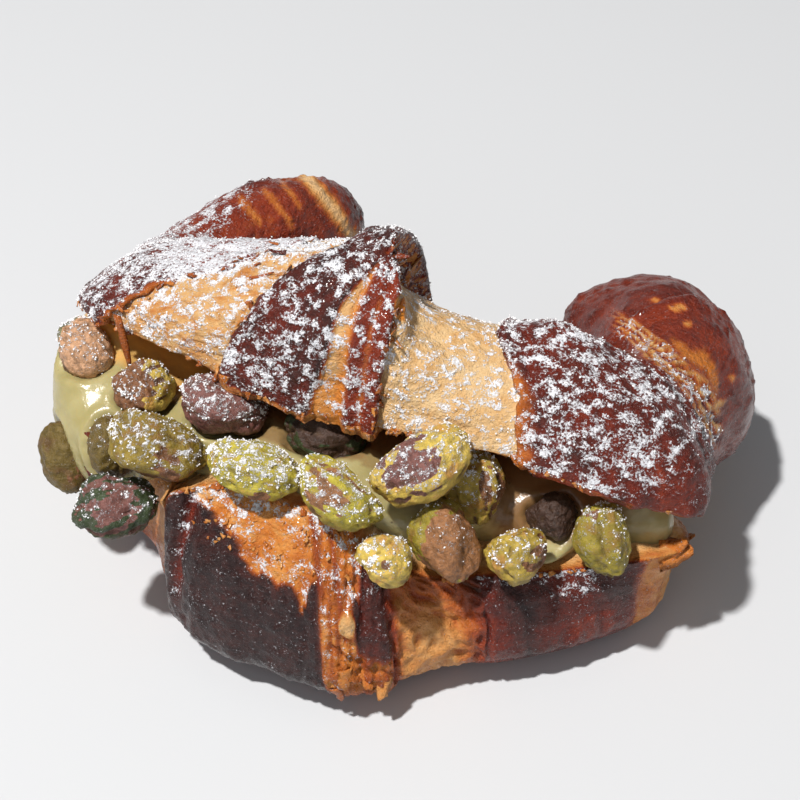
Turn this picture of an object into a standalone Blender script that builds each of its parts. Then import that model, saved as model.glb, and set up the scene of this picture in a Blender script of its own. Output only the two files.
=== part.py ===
"""A croissant split by a knife, filled with pistachio cream and set with whole pistachio kernels.

Metres, +Z up. The open mouth faces -Y and the two horns reach back towards +Y. The flat base of the
lower half lies on Z = 0.
"""

import math

import bmesh
import bpy
from mathutils import Matrix, Vector

MM = 0.001

# Sections of the upper half from the left horn's end to the right one's, in mm: front rim, ridge and
# back rim, each x, y, z, then how far below its widest level the skin is tucked in, in degrees.
TOP_SECTIONS = (
    (-30, 59, 20, -32, 49, 40, -34, 40, 20, 45),
    (-42, 59, 15, -41, 45, 45, -40, 33, 16, 45),
    (-57, 49, 12, -50, 37, 46, -42, 27, 14, 45),
    (-66, 24, 14, -56, 20, 47, -43, 18, 16, 40),
    (-66, 4, 34, -53, 8, 54, -34, 15, 24, 15),
    (-62, -13, 52, -46, 2, 60, -26, 16, 28, 0),
    (-50, -21, 55, -33, -3, 66, -18, 18, 30, 0),
    (-26, -24, 54, -7, -4, 75, -6, 20, 32, 0),
    (-10, -24, 52, 0, -5, 77, 1, 18, 33, 0),
    (5, -22, 50, 5, -4, 74, 5, 15, 33, 0),
    (9, -21, 50, 8, -5, 66, 8, 14, 32, 0),
    (18, -20, 49, 15, -3, 63, 14, 15, 31, 0),
    (30, -18, 48, 21, -1, 61, 19, 15, 30, 0),
    (46, -17, 45, 31, 3, 61, 25, 17, 28, 0),
    (62, -8, 37, 41, 6, 57, 28, 18, 24, 8),
    (59, 10, 27, 48, 15, 51, 33, 20, 18, 25),
    (59, 33, 15, 47, 30, 48, 36, 25, 14, 45),
    (45, 53, 13, 40, 40, 46, 32, 28, 15, 45),
    (30, 56, 17, 29, 46, 39, 28, 35, 18, 45),
    (18, 54, 20, 19, 47, 33, 20, 40, 20, 45),
)
# The rows at which a seam of the rolled dough steps up or down, and the rings laid in each band.
TOP_SEAMS = (2, 5, 6, 7, 9, 12, 14, 16.6)
TOP_RINGS = (6, 8, 5, 7, 11, 8, 8, 7, 6)
# How thick each band is against the plain roll: at its left end, at its right end, and how it swells.
TOP_BANDS = (
    (1.00, 0.94, 0.00),
    (1.01, 0.96, 0.02),
    (1.02, 1.01, 0.02),
    (0.96, 0.95, 0.02),
    (1.02, 1.03, 0.02),
    (0.96, 0.95, 0.02),
    (1.01, 1.00, 0.02),
    (0.95, 1.01, 0.02),
    (0.95, 1.00, 0.00),
)
TOP_END_SPANS = (1.0, 1.4)
# Ridges and grooves torn along the dough: the row, the half width in rows, how much thicker it is.
TOP_RIDGES = ((8.3, 0.14, -0.05), (8.65, 0.16, 0.03), (13.2, 0.2, 0.02))

# Sections of the lower half from left to right, in mm: front rim x, y, z, its widest point in front
# and the middle of its base, each x, y, then back rim x, y, z.
BOTTOM_SECTIONS = (
    (-52, 14, 22, -56, 14, -44, 14, -36, 16, 20),
    (-53, -3, 24, -57, -5, -42, 2, -28, 16, 20),
    (-51, -20, 27, -56, -22, -36, -6, -20, 17, 21),
    (-37, -27, 27, -42, -31, -30, -12, -14, 18, 22),
    (-30, -41, 38, -31, -43, -22, -11, -8, 22, 23),
    (-19, -37, 41, -20, -50, -14, -10, -4, 23, 23),
    (-3, -37, 41, -2, -51, -1, -9, 0, 24, 23),
    (6, -37, 39, 8, -51, 5, -8, 3, 24, 23),
    (12, -38, 30, 17, -46, 10, -8, 6, 23, 23),
    (21, -34, 27, 26, -37, 17, -7, 10, 22, 23),
    (28, -30, 27, 35, -32, 24, -5, 14, 20, 22),
    (41, -22, 26, 48, -21, 34, -2, 20, 18, 22),
    (61, -10, 28, 57, -9, 44, 4, 26, 18, 20),
    (57, 8, 22, 59, 8, 46, 12, 32, 18, 18),
)
BOTTOM_SEAMS = (4, 8, 10)
BOTTOM_RINGS = (9, 12, 5, 10)
BOTTOM_BANDS = (
    (0.98, 0.95, 0.02),
    (1.01, 1.02, 0.02),
    (0.95, 0.96, 0.02),
    (1.01, 0.98, 0.02),
)
BOTTOM_END_SPANS = (1.0, 1.0)
BOTTOM_RIDGES = ((4.3, 0.2, 0.04), (4.75, 0.15, -0.05), (6.4, 0.25, 0.03), (7.2, 0.2, -0.04))
WIDEST_LEVEL = 11
BASE_FLATTENING = 1.35
RIM_TURN = 62
BACK_TURN = 40

# The cream, from left to right, in mm: its foremost point and its hindmost one, each x, y, z, and half
# its height in front.
CREAM_SECTIONS = (
    (-60, 12, 29, -46, 14, 26, 7),
    (-65, -6, 35, -42, 10, 27, 15),
    (-64, -23, 35, -34, 10, 28, 20),
    (-50, -38, 34, -26, 12, 28, 14),
    (-34, -36, 41, -16, 14, 28, 9),
    (-15, -37, 40, -6, 14, 28, 7),
    (5, -37, 40, 2, 14, 28, 7),
    (19, -33, 35, 10, 12, 27, 7),
    (34, -24, 29, 17, 11, 27, 6),
    (48, -17, 33, 23, 12, 26, 11),
    (62, -10, 33, 32, 14, 26, 9),
    (60, 4, 28, 42, 14, 24, 5),
)
CREAM_RINGS = 34
CREAM_AROUND = 20
CREAM_BACK_HEIGHT = 9
CREAM_FULLNESS = 0.8
# What is left free between neighbouring pieces.
GAP = 0.35

# The kernels: middle x, y, z in mm, heading and rise of the long axis in degrees, length, width and
# thickness in mm.
KERNELS = (
    (-56.4, -21.0, 46.4, -14, -57, 15.5, 11, 10),
    (-41.7, -25.3, 46.8, 82, -26, 15, 11.5, 11),
    (-57.0, -32.8, 29.0, -54, -56, 16, 10, 10),
    (-33.4, -36.7, 44.1, 14, -23, 20, 13, 12),
    (-24.9, -24.6, 46.8, 21, -23, 18.5, 12.2, 11.7),
    (-6.5, -20.2, 43.3, 21, -16, 18, 12, 11),
    (-12.6, -37.8, 47.2, 8, -14, 19, 11.5, 11),
    (4.7, -40.1, 49.3, -4, -25, 18, 11.3, 11),
    (16.1, -28.0, 50.2, 47, 18, 21, 12.5, 12),
    (22.9, -19.6, 39.1, -44, -60, 15, 11.5, 11),
    (14.5, -41.9, 38.6, 68, -34, 12, 10.3, 10),
    (22.3, -32.4, 36.5, -23, -49, 16.5, 12.5, 12),
    (34.5, -28.4, 34.6, 67, -26, 13, 11, 10.5),
    (37.0, -15.6, 32.4, 59, -37, 10.5, 9.8, 9.3),
    (47.8, -18.8, 33.8, -52, -51, 15.5, 11, 10.5),
    (-39.1, -44.1, 33.6, 28, 2, 17, 12.5, 12),
    (-44.3, -35.0, 37.9, -35, -64, 13, 9.5, 9),
)
KERNEL_AROUND = 12
KERNEL_RINGS = 8
KERNEL_TAPER = 0.14
KERNEL_BEND = 0.05
KERNEL_RIDGE = 0.035

AROUND_OUTSIDE = 24
AROUND_INSIDE = 4


def between(rows, place):
    """Every column of the rows at a fractional row number, on a smooth curve through them."""
    k = min(max(math.floor(place), 0), len(rows) - 2)
    t = place - k
    a, b = rows[k], rows[k + 1]
    before, after = rows[max(k - 1, 0)], rows[min(k + 2, len(rows) - 1)]
    return [
        (2 * t**3 - 3 * t**2 + 1) * a[i]
        + (t**3 - 2 * t**2 + t) * 0.5 * (b[i] - before[i])
        + (3 * t**2 - 2 * t**3) * b[i]
        + (t**3 - t**2) * 0.5 * (after[i] - a[i])
        for i in range(len(a))
    ]


def rings_along(rows, seams, counts, bands, ridges):
    """For each ring of a loft: its place in the rows and how thick it is against the plain roll."""
    edges = (0, *seams, len(rows) - 1)
    found = []
    for k, (first, last, swell) in enumerate(bands):
        for i in range(counts[k]):
            share = (i + 0.3) / (counts[k] - 0.4)
            place = edges[k] + (edges[k + 1] - edges[k]) * share
            thickness = first + (last - first) * share + swell * math.sin(math.pi * share)
            for row, width, height in ridges:
                thickness += height * math.exp(-(((place - row) / width) ** 2))
            found.append((place, thickness))
    return found


def end_rounding(place, last, spans):
    """From 1 along the roll to 0 at its two ends, as a quarter circle."""
    nearest = min(place / spans[0], (last - place) / spans[1], 1)
    return math.sqrt(1 - (1 - nearest) ** 2)


def upper_skin(section, thickness, way):
    """A point of the upper half's crust: way 0 is the front rim and 1 the back rim."""
    *points, tuck = section
    ridge = Vector(points[3:6])
    turn = -tuck + way * (180 + 2 * tuck)
    rim = Vector(points[0:3] if turn <= 90 else points[6:9])
    turn = math.radians(min(turn, 180 - turn))
    tuck = math.radians(max(tuck, 0))
    reach = math.cos(turn) / math.cos(tuck) * thickness
    widest = 0.42 * math.sin(tuck)
    if turn >= 0:
        rise = widest + (1 - widest) * math.sin(turn)
    else:
        rise = widest * (1 + math.sin(turn) / math.sin(tuck))
    return Vector(
        (
            ridge.x + (rim.x - ridge.x) * reach,
            ridge.y + (rim.y - ridge.y) * reach,
            rim.z + (ridge.z - rim.z) * rise * thickness,
        )
    )


def lower_skin(section, thickness, way):
    """A point of the lower half's crust: way 0 is the front rim and 1 the back rim."""
    rim, widest, base, back = section[0:3], section[3:5], section[5:7], section[7:10]
    thickness += (1 - thickness) * way
    turn = RIM_TURN * (1 - way) + (-180 - BACK_TURN) * way
    if turn < -90:
        turn = -180 - turn
        rim, widest, top = back, back[0:2], BACK_TURN
    else:
        top = RIM_TURN
    turn = math.radians(turn)
    top = math.radians(top)
    rim, widest, base = Vector(rim), Vector(widest), Vector(base)
    if turn >= 0:
        leaning = (1 - math.cos(turn)) / (1 - math.cos(top))
        place = widest.lerp(rim.to_2d(), leaning)
        z = WIDEST_LEVEL + (rim.z - WIDEST_LEVEL) * math.sin(turn) / math.sin(top)
    else:
        place = base.lerp(widest, math.cos(turn))
        z = max(WIDEST_LEVEL * (1 + BASE_FLATTENING * math.sin(turn)), 0)
    place = base + (place - base) * thickness
    return Vector((*place, z))


def loft(name, rings, around, ring_point):
    """A ball whose rings of latitude are moved to the sections of a roll."""
    bm = bmesh.new()
    bmesh.ops.create_uvsphere(bm, u_segments=around, v_segments=rings + 1, radius=1)
    for vertex in bm.verts:
        latitude = math.acos(min(max(vertex.co.z, -1), 1)) / math.pi * (rings + 1)
        place = round(math.atan2(vertex.co.y, vertex.co.x) / math.tau * around) % around
        vertex.co = ring_point(round(latitude) - 1, place) * MM
    bmesh.ops.recalc_face_normals(bm, faces=bm.faces)
    if bm.calc_volume(signed=True) < 0:
        bmesh.ops.reverse_faces(bm, faces=bm.faces)
    bmesh.ops.triangulate(bm, faces=bm.faces)
    mesh = bpy.data.meshes.new(name)
    bm.to_mesh(mesh)
    bm.free()
    return mesh


def half_loft(name, rows, seams, counts, bands, ridges, spans, skin):
    """One half of the cut roll: its crust from the front rim to the back rim, and its cut face."""
    rings = rings_along(rows, seams, counts, bands, ridges)
    last = len(rows) - 1

    def ring_point(ring, place):
        row, thickness = rings[min(max(ring, 0), len(rings) - 1)]
        section = between(rows, row)
        front, back = skin(section, thickness, 0), skin(section, thickness, 1)
        middle = 0.5 * (0.5 * (front + back) + skin(section, thickness, 0.5))
        if ring < 0 or ring >= len(rings):
            end = between(rows, 0 if ring < 0 else last)
            far = 0.5 * (skin(end, 1, 0) + skin(end, 1, 1))
            return 0.5 * (far + skin(end, 1, 0.5))
        if place <= AROUND_OUTSIDE:
            point = skin(section, thickness, place / AROUND_OUTSIDE)
        else:
            point = back.lerp(front, (place - AROUND_OUTSIDE) / AROUND_INSIDE)
        return middle.lerp(point, end_rounding(row, last, spans))

    return loft(name, len(rings), AROUND_OUTSIDE + AROUND_INSIDE, ring_point)


def cream_loft():
    """The cream before the crust and the kernels press into it."""
    last = len(CREAM_SECTIONS) - 1

    def fullness(value):
        return math.copysign(abs(value) ** CREAM_FULLNESS, value)

    def ring_point(ring, place):
        row = min(max((ring + 0.5) / CREAM_RINGS, 0), 1) * last
        *ends, height = between(CREAM_SECTIONS, row)
        front, back = Vector(ends[0:3]), Vector(ends[3:6])
        if ring < 0 or ring >= CREAM_RINGS:
            return 0.5 * (front + back)
        turn = place / CREAM_AROUND * math.tau
        forward = math.cos(turn)
        height += (CREAM_BACK_HEIGHT - height) * (1 - forward) / 2
        middle = 0.5 * (front + back)
        point = middle + (front - middle) * fullness(forward)
        point.z += height * fullness(math.sin(turn))
        return middle.lerp(point, end_rounding(row, last, (1, 1)))

    return loft("cream", CREAM_RINGS, CREAM_AROUND, ring_point)


def kernel_mesh(name, number, length, width, thickness):
    """A pistachio kernel: a slightly bent, tapered oval with shallow ridges along it."""

    def ring_point(ring, place):
        along = math.cos((ring + 1) / (KERNEL_RINGS + 1) * math.pi)
        across = math.sin((ring + 1) / (KERNEL_RINGS + 1) * math.pi) * (1 - KERNEL_TAPER * along)
        turn = place / KERNEL_AROUND * math.tau
        across *= 1 + KERNEL_RIDGE * math.cos(3 * turn + number)
        return Vector(
            (
                0.5 * length * along,
                0.5 * width * across * math.cos(turn) + KERNEL_BEND * length * (along**2 - 0.4),
                0.5 * thickness * across * math.sin(turn),
            )
        )

    return loft(name, KERNEL_RINGS, KERNEL_AROUND, ring_point)


def grown(mesh, collection):
    """A cutter for a neighbour: the mesh with every face moved out by the gap."""
    bm = bmesh.new()
    bm.from_mesh(mesh)
    for vertex in bm.verts:
        vertex.co += vertex.normal * GAP * MM
    made = bpy.data.meshes.new(f"{mesh.name}_cutter")
    bm.to_mesh(made)
    bm.free()
    cutter = bpy.data.objects.new(made.name, made)
    cutter.hide_render = True
    cutter.display_type = "WIRE"
    collection.objects.link(cutter)
    return cutter


def material(name, colour, roughness):
    """A plain finish in the part's colour."""
    made = bpy.data.materials.new(name)
    made.use_nodes = True
    shader = made.node_tree.nodes["Principled BSDF"]
    shader.inputs["Base Color"].default_value = (*colour, 1)
    shader.inputs["Roughness"].default_value = roughness
    return made


def add_part(mesh, collection, finish):
    """An object for the mesh, in the collection, with its finish."""
    made = bpy.data.objects.new(mesh.name, mesh)
    made.data.materials.append(finish)
    collection.objects.link(made)
    return made


def main():
    for old in list(bpy.data.objects):
        bpy.data.objects.remove(old)
    collection = bpy.data.collections.new("filled_croissant")
    cutters = bpy.data.collections.new("cutters")
    bpy.context.scene.collection.children.link(collection)
    bpy.context.scene.collection.children.link(cutters)

    top = half_loft(
        "top_half",
        TOP_SECTIONS,
        TOP_SEAMS,
        TOP_RINGS,
        TOP_BANDS,
        TOP_RIDGES,
        TOP_END_SPANS,
        upper_skin,
    )
    bottom = half_loft(
        "bottom_half",
        BOTTOM_SECTIONS,
        BOTTOM_SEAMS,
        BOTTOM_RINGS,
        BOTTOM_BANDS,
        BOTTOM_RIDGES,
        BOTTOM_END_SPANS,
        lower_skin,
    )
    add_part(top, collection, material("upper crust", (0.30, 0.10, 0.035), 0.45))
    add_part(bottom, collection, material("lower crust", (0.26, 0.09, 0.03), 0.5))

    neighbours = [top, bottom]
    kernel_finish = material("pistachio", (0.26, 0.27, 0.06), 0.55)
    for number, (x, y, z, heading, rise, *size) in enumerate(KERNELS, 1):
        mesh = kernel_mesh(f"pistachio_{number:02d}", number, *size)
        turned = Matrix.Rotation(math.radians(heading), 4, "Z")
        tilted = Matrix.Rotation(math.radians(-rise), 4, "Y")
        mesh.transform(Matrix.Translation(Vector((x, y, z)) * MM) @ turned @ tilted)
        add_part(mesh, collection, kernel_finish)
        neighbours.append(mesh)

    cream = add_part(cream_loft(), collection, material("pistachio cream", (0.62, 0.58, 0.3), 0.35))
    for mesh in neighbours:
        cut = cream.modifiers.new(mesh.name, "BOOLEAN")
        cut.operation = "DIFFERENCE"
        cut.solver = "EXACT"
        cut.object = grown(mesh, cutters)


main()
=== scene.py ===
# %% [markdown]
# # A croissant with pistachio cream
# The croissant was cut open with a knife, filled with pistachio cream and set with whole
# pistachio kernels. The solids of the model already have the right sizes and places. This lesson
# builds a much finer surface round the same sections, and gives every piece the finish of the
# real one.

# %% Frame and units
import itertools
import math

import bpy
import numpy as np
from mathutils import Matrix, Vector
from mathutils.bvhtree import BVHTree


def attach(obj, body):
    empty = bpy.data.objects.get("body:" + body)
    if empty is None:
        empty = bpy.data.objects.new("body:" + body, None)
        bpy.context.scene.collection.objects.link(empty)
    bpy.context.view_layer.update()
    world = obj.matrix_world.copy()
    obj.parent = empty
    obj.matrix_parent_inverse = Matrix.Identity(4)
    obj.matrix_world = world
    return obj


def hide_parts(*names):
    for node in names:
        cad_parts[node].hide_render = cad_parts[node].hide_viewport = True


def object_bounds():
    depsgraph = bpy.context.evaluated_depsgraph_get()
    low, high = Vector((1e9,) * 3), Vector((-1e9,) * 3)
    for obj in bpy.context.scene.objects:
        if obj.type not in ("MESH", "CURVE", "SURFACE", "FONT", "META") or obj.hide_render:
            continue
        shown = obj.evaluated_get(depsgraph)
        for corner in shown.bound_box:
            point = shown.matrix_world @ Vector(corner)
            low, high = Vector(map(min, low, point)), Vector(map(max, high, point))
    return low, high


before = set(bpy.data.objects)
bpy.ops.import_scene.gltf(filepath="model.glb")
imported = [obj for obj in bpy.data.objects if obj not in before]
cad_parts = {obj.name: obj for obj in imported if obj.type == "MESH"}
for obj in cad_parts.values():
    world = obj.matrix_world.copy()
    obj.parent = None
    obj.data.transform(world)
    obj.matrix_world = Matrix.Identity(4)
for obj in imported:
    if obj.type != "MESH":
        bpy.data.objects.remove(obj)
cad_box = [list(corner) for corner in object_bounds()]
MM = 0.001


def in_mm(box):
    """A box in mm, rounded for printing."""
    return [[round(v / MM, 1) for v in corner] for corner in box]


print("solids:", len(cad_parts), "box in mm:", in_mm(cad_box))

# %% [markdown]
# ## The camera
# The camera stands 36 cm in front of the croissant, a little to its right and well above it. It
# comes first because everything is judged through it, and because some marks that only this
# croissant has are placed in its view.

# %% Camera
CAMERA_AZIMUTH = math.radians(22)
CAMERA_ELEVATION = math.radians(43)
CAMERA_DISTANCE = 0.36
CAMERA_TARGET = Vector((0, 0, 0.036))
CAMERA_LENS = 82.62
SENSOR_WIDTH = 36

towards_camera = Vector((
    math.sin(CAMERA_AZIMUTH) * math.cos(CAMERA_ELEVATION),
    -math.cos(CAMERA_AZIMUTH) * math.cos(CAMERA_ELEVATION),
    math.sin(CAMERA_ELEVATION),
))
camera = bpy.data.objects.new("camera", bpy.data.cameras.new("camera"))
camera.data.lens = CAMERA_LENS
camera.data.sensor_width = SENSOR_WIDTH
camera.location = CAMERA_TARGET + towards_camera * CAMERA_DISTANCE
camera.rotation_euler = (-towards_camera).to_track_quat("-Z", "Y").to_euler()
bpy.context.scene.collection.objects.link(camera)
bpy.context.scene.camera = camera
bpy.context.scene.view_settings.view_transform = "Standard"
print("camera at", [round(v, 4) for v in camera.location])

# %% [markdown]
# ## Smooth steps and bumps
# Much of a crust is one value that changes into another: dark to light, thick to thin. Three
# small helpers say where and how softly. They take whole arrays, so a hundred thousand points
# cost no more typing than one.


# %% Steps and bumps
def step(low, high, value):
    """0 up to low, 1 from high on, and an S-shaped change between."""
    share = np.clip((value - low) / (high - low), 0, 1)
    return share * share * (3 - 2 * share)


def bump(value, centre, width):
    """A rounded hill, 1 at the centre and close to 0 from two widths away."""
    return np.exp(-(((value - centre) / width) ** 2))


def window(value, opens, full, fades, shut):
    """0 outside a range, 1 well within it, and soft at both ends."""
    return step(opens, full, value) * step(shut, fades, value)


print("half way up a step:", step(0, 1, 0.5))

# %% [markdown]
# ## Noise for relief
# Baked dough is uneven at every scale. Blender has noise textures for colour, but relief that
# should be in the mesh itself is easier to steer in code. This is gradient noise: random slopes
# on a grid of cells, blended smoothly. Adding finer and finer layers gives the crumpled look of a
# crust.

# %% Noise
SLOPE_COUNT = 4096
noise_draws = np.random.default_rng(11)
SLOPES = noise_draws.normal(size=(SLOPE_COUNT, 3))
SLOPES /= np.linalg.norm(SLOPES, axis=1, keepdims=True)
SPOTS = noise_draws.uniform(0.15, 0.85, (SLOPE_COUNT, 3))
CORNERS = np.array(list(itertools.product((0, 1), repeat=3)))
NEIGHBOURS = np.array(list(itertools.product((-1, 0, 1), repeat=3)))


def cell_number(cell, seed):
    """A number for each cell of the grid that looks random and is always the same."""
    mixed = cell[:, 0] * 73856093 ^ cell[:, 1] * 19349663 ^ cell[:, 2] * 83492791 ^ seed * 40503
    return mixed % SLOPE_COUNT


def lumps(points, size, seed=0):
    """Smooth hills and hollows, about -1 to 1, at points in mm. Their size may differ by axis."""
    flat = np.reshape(points, (-1, 3)) / size
    cell = np.floor(flat).astype(np.int64)
    inside = flat - cell
    fade = inside**3 * (inside * (inside * 6 - 15) + 10)
    total = np.zeros(len(flat))
    for corner in CORNERS:
        slope = SLOPES[cell_number(cell + corner, seed)]
        weight = np.prod(np.where(corner == 1, fade, 1 - fade), axis=1)
        total += weight * np.einsum("ij,ij->i", slope, inside - corner)
    return 1.7 * total.reshape(np.shape(points)[:-1])


def crumple(points, size, layers=3, seed=0):
    """Lumps with finer lumps on them."""
    return sum(lumps(points, size / 2**k, seed + 17 * k) * 0.55**k for k in range(layers))


def blisters(points, spacing, seed=0):
    """Round domes, one to a cell at most: 1 on top of a dome and 0 between them."""
    flat = np.reshape(points, (-1, 3)) / spacing
    cell = np.floor(flat).astype(np.int64)
    height = np.zeros(len(flat))
    for neighbour in NEIGHBOURS:
        number = cell_number(cell + neighbour, seed)
        away = np.linalg.norm(flat - cell - neighbour - SPOTS[number], axis=1)
        radius = 0.12 + 0.3 * (number % 97) / 97
        height = np.maximum(height, np.clip(1 - (away / radius) ** 2, 0, 1))
    return height.reshape(np.shape(points)[:-1])


def ledges(value):
    """Turns a slope into flat treads with steep risers, like torn layers."""
    whole = np.floor(value)
    return whole + step(0.7, 1.0, value - whole)


def powder(amount, place, size, seed):
    """Turns an even amount of sugar into clumps: 0 is bare and 1 fully covered."""
    amount = np.clip(amount, 0, 1)
    clumps = crumple(place, size, 3, seed)
    return np.clip(amount + 0.7 * clumps * np.minimum(1, 3 * amount), 0, 1)


sample = np.random.default_rng(1).uniform(-50, 50, (2000, 3))
print("lumps range:", lumps(sample, 7).min().round(2), "to", lumps(sample, 7).max().round(2))

# %% [markdown]
# ## The sections of the roll
# A croissant is a long triangle of dough, rolled up and bent. The knife has split it into an
# upper and a lower half. Each half is described by sections across the roll, from the left horn
# to the right one. These are the sections the solids were made from, in mm, so that the fine
# surface lies where the solid lies.

# %% Sections
# Front rim, ridge and back rim, each x, y, z, then how far the skin tucks in under its widest
# level, in degrees.
TOP_SECTIONS = np.array((
    (-30, 59, 20, -32, 49, 40, -34, 40, 20, 45),
    (-42, 59, 15, -41, 45, 45, -40, 33, 16, 45),
    (-57, 49, 12, -50, 37, 46, -42, 27, 14, 45),
    (-66, 24, 14, -56, 20, 47, -43, 18, 16, 40),
    (-66, 4, 34, -53, 8, 54, -34, 15, 24, 15),
    (-62, -13, 52, -46, 2, 60, -26, 16, 28, 0),
    (-50, -21, 55, -33, -3, 66, -18, 18, 30, 0),
    (-26, -24, 54, -7, -4, 75, -6, 20, 32, 0),
    (-10, -24, 52, 0, -5, 77, 1, 18, 33, 0),
    (5, -22, 50, 5, -4, 74, 5, 15, 33, 0),
    (9, -21, 50, 8, -5, 66, 8, 14, 32, 0),
    (18, -20, 49, 15, -3, 63, 14, 15, 31, 0),
    (30, -18, 48, 21, -1, 61, 19, 15, 30, 0),
    (46, -17, 45, 31, 3, 61, 25, 17, 28, 0),
    (62, -8, 37, 41, 6, 57, 28, 18, 24, 8),
    (59, 10, 27, 48, 15, 51, 33, 20, 18, 25),
    (59, 33, 15, 47, 30, 48, 36, 25, 14, 45),
    (45, 53, 13, 40, 40, 46, 32, 28, 15, 45),
    (30, 56, 17, 29, 46, 39, 28, 35, 18, 45),
    (18, 54, 20, 19, 47, 33, 20, 40, 20, 45),
), float)
# Front rim x, y, z, its widest point in front and the middle of its base, each x, y, then back rim.
BOTTOM_SECTIONS = np.array((
    (-52, 14, 22, -56, 14, -44, 14, -36, 16, 20),
    (-53, -3, 24, -57, -5, -42, 2, -28, 16, 20),
    (-51, -20, 27, -56, -22, -36, -6, -20, 17, 21),
    (-37, -27, 27, -42, -31, -30, -12, -14, 18, 22),
    (-30, -41, 38, -31, -43, -22, -11, -8, 22, 23),
    (-19, -37, 41, -20, -50, -14, -10, -4, 23, 23),
    (-3, -37, 41, -2, -51, -1, -9, 0, 24, 23),
    (6, -37, 39, 8, -51, 5, -8, 3, 24, 23),
    (12, -38, 30, 17, -46, 10, -8, 6, 23, 23),
    (21, -34, 27, 26, -37, 17, -7, 10, 22, 23),
    (28, -30, 27, 35, -32, 24, -5, 14, 20, 22),
    (41, -22, 26, 48, -21, 34, -2, 20, 18, 22),
    (61, -10, 28, 57, -9, 44, 4, 26, 18, 20),
    (57, 8, 22, 59, 8, 46, 12, 32, 18, 18),
), float)
WIDEST_LEVEL = 11
BASE_FLATTENING = 1.35
RIM_TURN = 62
BACK_TURN = 40


def between(rows, place):
    """Every column of the rows at fractional row numbers, on a smooth curve through them."""
    k = np.clip(np.floor(place), 0, len(rows) - 2).astype(int)
    t = (place - k)[..., None]
    a, b = rows[k], rows[k + 1]
    before, after = rows[np.maximum(k - 1, 0)], rows[np.minimum(k + 2, len(rows) - 1)]
    return (
        (2 * t**3 - 3 * t**2 + 1) * a
        + (t**3 - 2 * t**2 + t) * 0.5 * (b - before)
        + (3 * t**2 - 2 * t**3) * b
        + (t**3 - t**2) * 0.5 * (after - a)
    )


def upper_skin(section, thickness, way):
    """Points of the upper half's crust: way 0 is the front rim and 1 the back rim."""
    tuck = section[..., 9]
    turn = -tuck + way * (180 + 2 * tuck)
    rim = np.where((turn <= 90)[..., None], section[..., 0:3], section[..., 6:9])
    ridge = section[..., 3:6]
    turn = np.radians(np.minimum(turn, 180 - turn))
    tuck = np.radians(np.maximum(tuck, 1e-4))
    reach = np.cos(turn) / np.cos(tuck) * thickness
    widest = 0.42 * np.sin(tuck)
    over = widest + (1 - widest) * np.sin(turn)
    under = widest * (1 + np.sin(turn) / np.sin(tuck))
    rise = np.where(turn >= 0, over, under)
    place = ridge[..., 0:2] + (rim[..., 0:2] - ridge[..., 0:2]) * reach[..., None]
    z = rim[..., 2] + (ridge[..., 2] - rim[..., 2]) * rise * thickness
    return np.concatenate((place, z[..., None]), axis=-1)


def lower_skin(section, thickness, way):
    """Points of the lower half's crust: way 0 is the front rim and 1 the back rim."""
    thickness = thickness + (1 - thickness) * way
    turn = RIM_TURN * (1 - way) + (-180 - BACK_TURN) * way
    behind = turn < -90
    turn = np.where(behind, -180 - turn, turn)
    rim = np.where(behind[..., None], section[..., 7:10], section[..., 0:3])
    widest = np.where(behind[..., None], section[..., 7:9], section[..., 3:5])
    base = section[..., 5:7]
    top = np.radians(np.where(behind, BACK_TURN, RIM_TURN))
    turn = np.radians(turn)
    leaning = (1 - np.cos(turn)) / (1 - np.cos(top))
    wall = widest + (rim[..., 0:2] - widest) * leaning[..., None]
    floor = base + (widest - base) * np.cos(turn)[..., None]
    upward = turn >= 0
    place = np.where(upward[..., None], wall, floor)
    wall_z = WIDEST_LEVEL + (rim[..., 2] - WIDEST_LEVEL) * np.sin(turn) / np.sin(top)
    floor_z = np.maximum(WIDEST_LEVEL * (1 + BASE_FLATTENING * np.sin(turn)), 0)
    place = base + (place - base) * thickness[..., None]
    return np.concatenate((place, np.where(upward, wall_z, floor_z)[..., None]), axis=-1)


def middle_of(rows, skin, row):
    """The middle of the roll at each row."""
    section = between(rows, row)
    one, zero = np.ones_like(row), np.zeros_like(row)
    rims = skin(section, one, zero) + skin(section, one, one)
    return 0.5 * (0.5 * rims + skin(section, one, 0.5 * one))


def end_rounding(row, last, spans):
    """From 1 along the roll to 0 at its two ends, as a quarter circle."""
    nearest = np.clip(np.minimum(row / spans[0], (last - row) / spans[1]), 0, 1)
    return np.sqrt(1 - (1 - nearest) ** 2)


def roll_point(rows, skin, spans, row, way, thickness):
    """Points on the crust of one half, with its rounded ends."""
    middle = middle_of(rows, skin, row)
    point = skin(between(rows, row), thickness, way)
    return middle + (point - middle) * end_rounding(row, len(rows) - 1, spans)[..., None]


print("rows:", len(TOP_SECTIONS), "upper,", len(BOTTOM_SECTIONS), "lower")

# %% [markdown]
# ## Seams
# Where one turn of the dough ends on top of the one below, the crust has a seam: a rounded lip
# with a shadow under it. A seam runs across the roll but not straight, so each is a line of knots
# that say at which row it is as the surface goes over from the front rim to the back rim. The
# band between two seams is a little thicker or thinner than its neighbours, and the thinner one
# starts under the lip of the thicker one.

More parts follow.
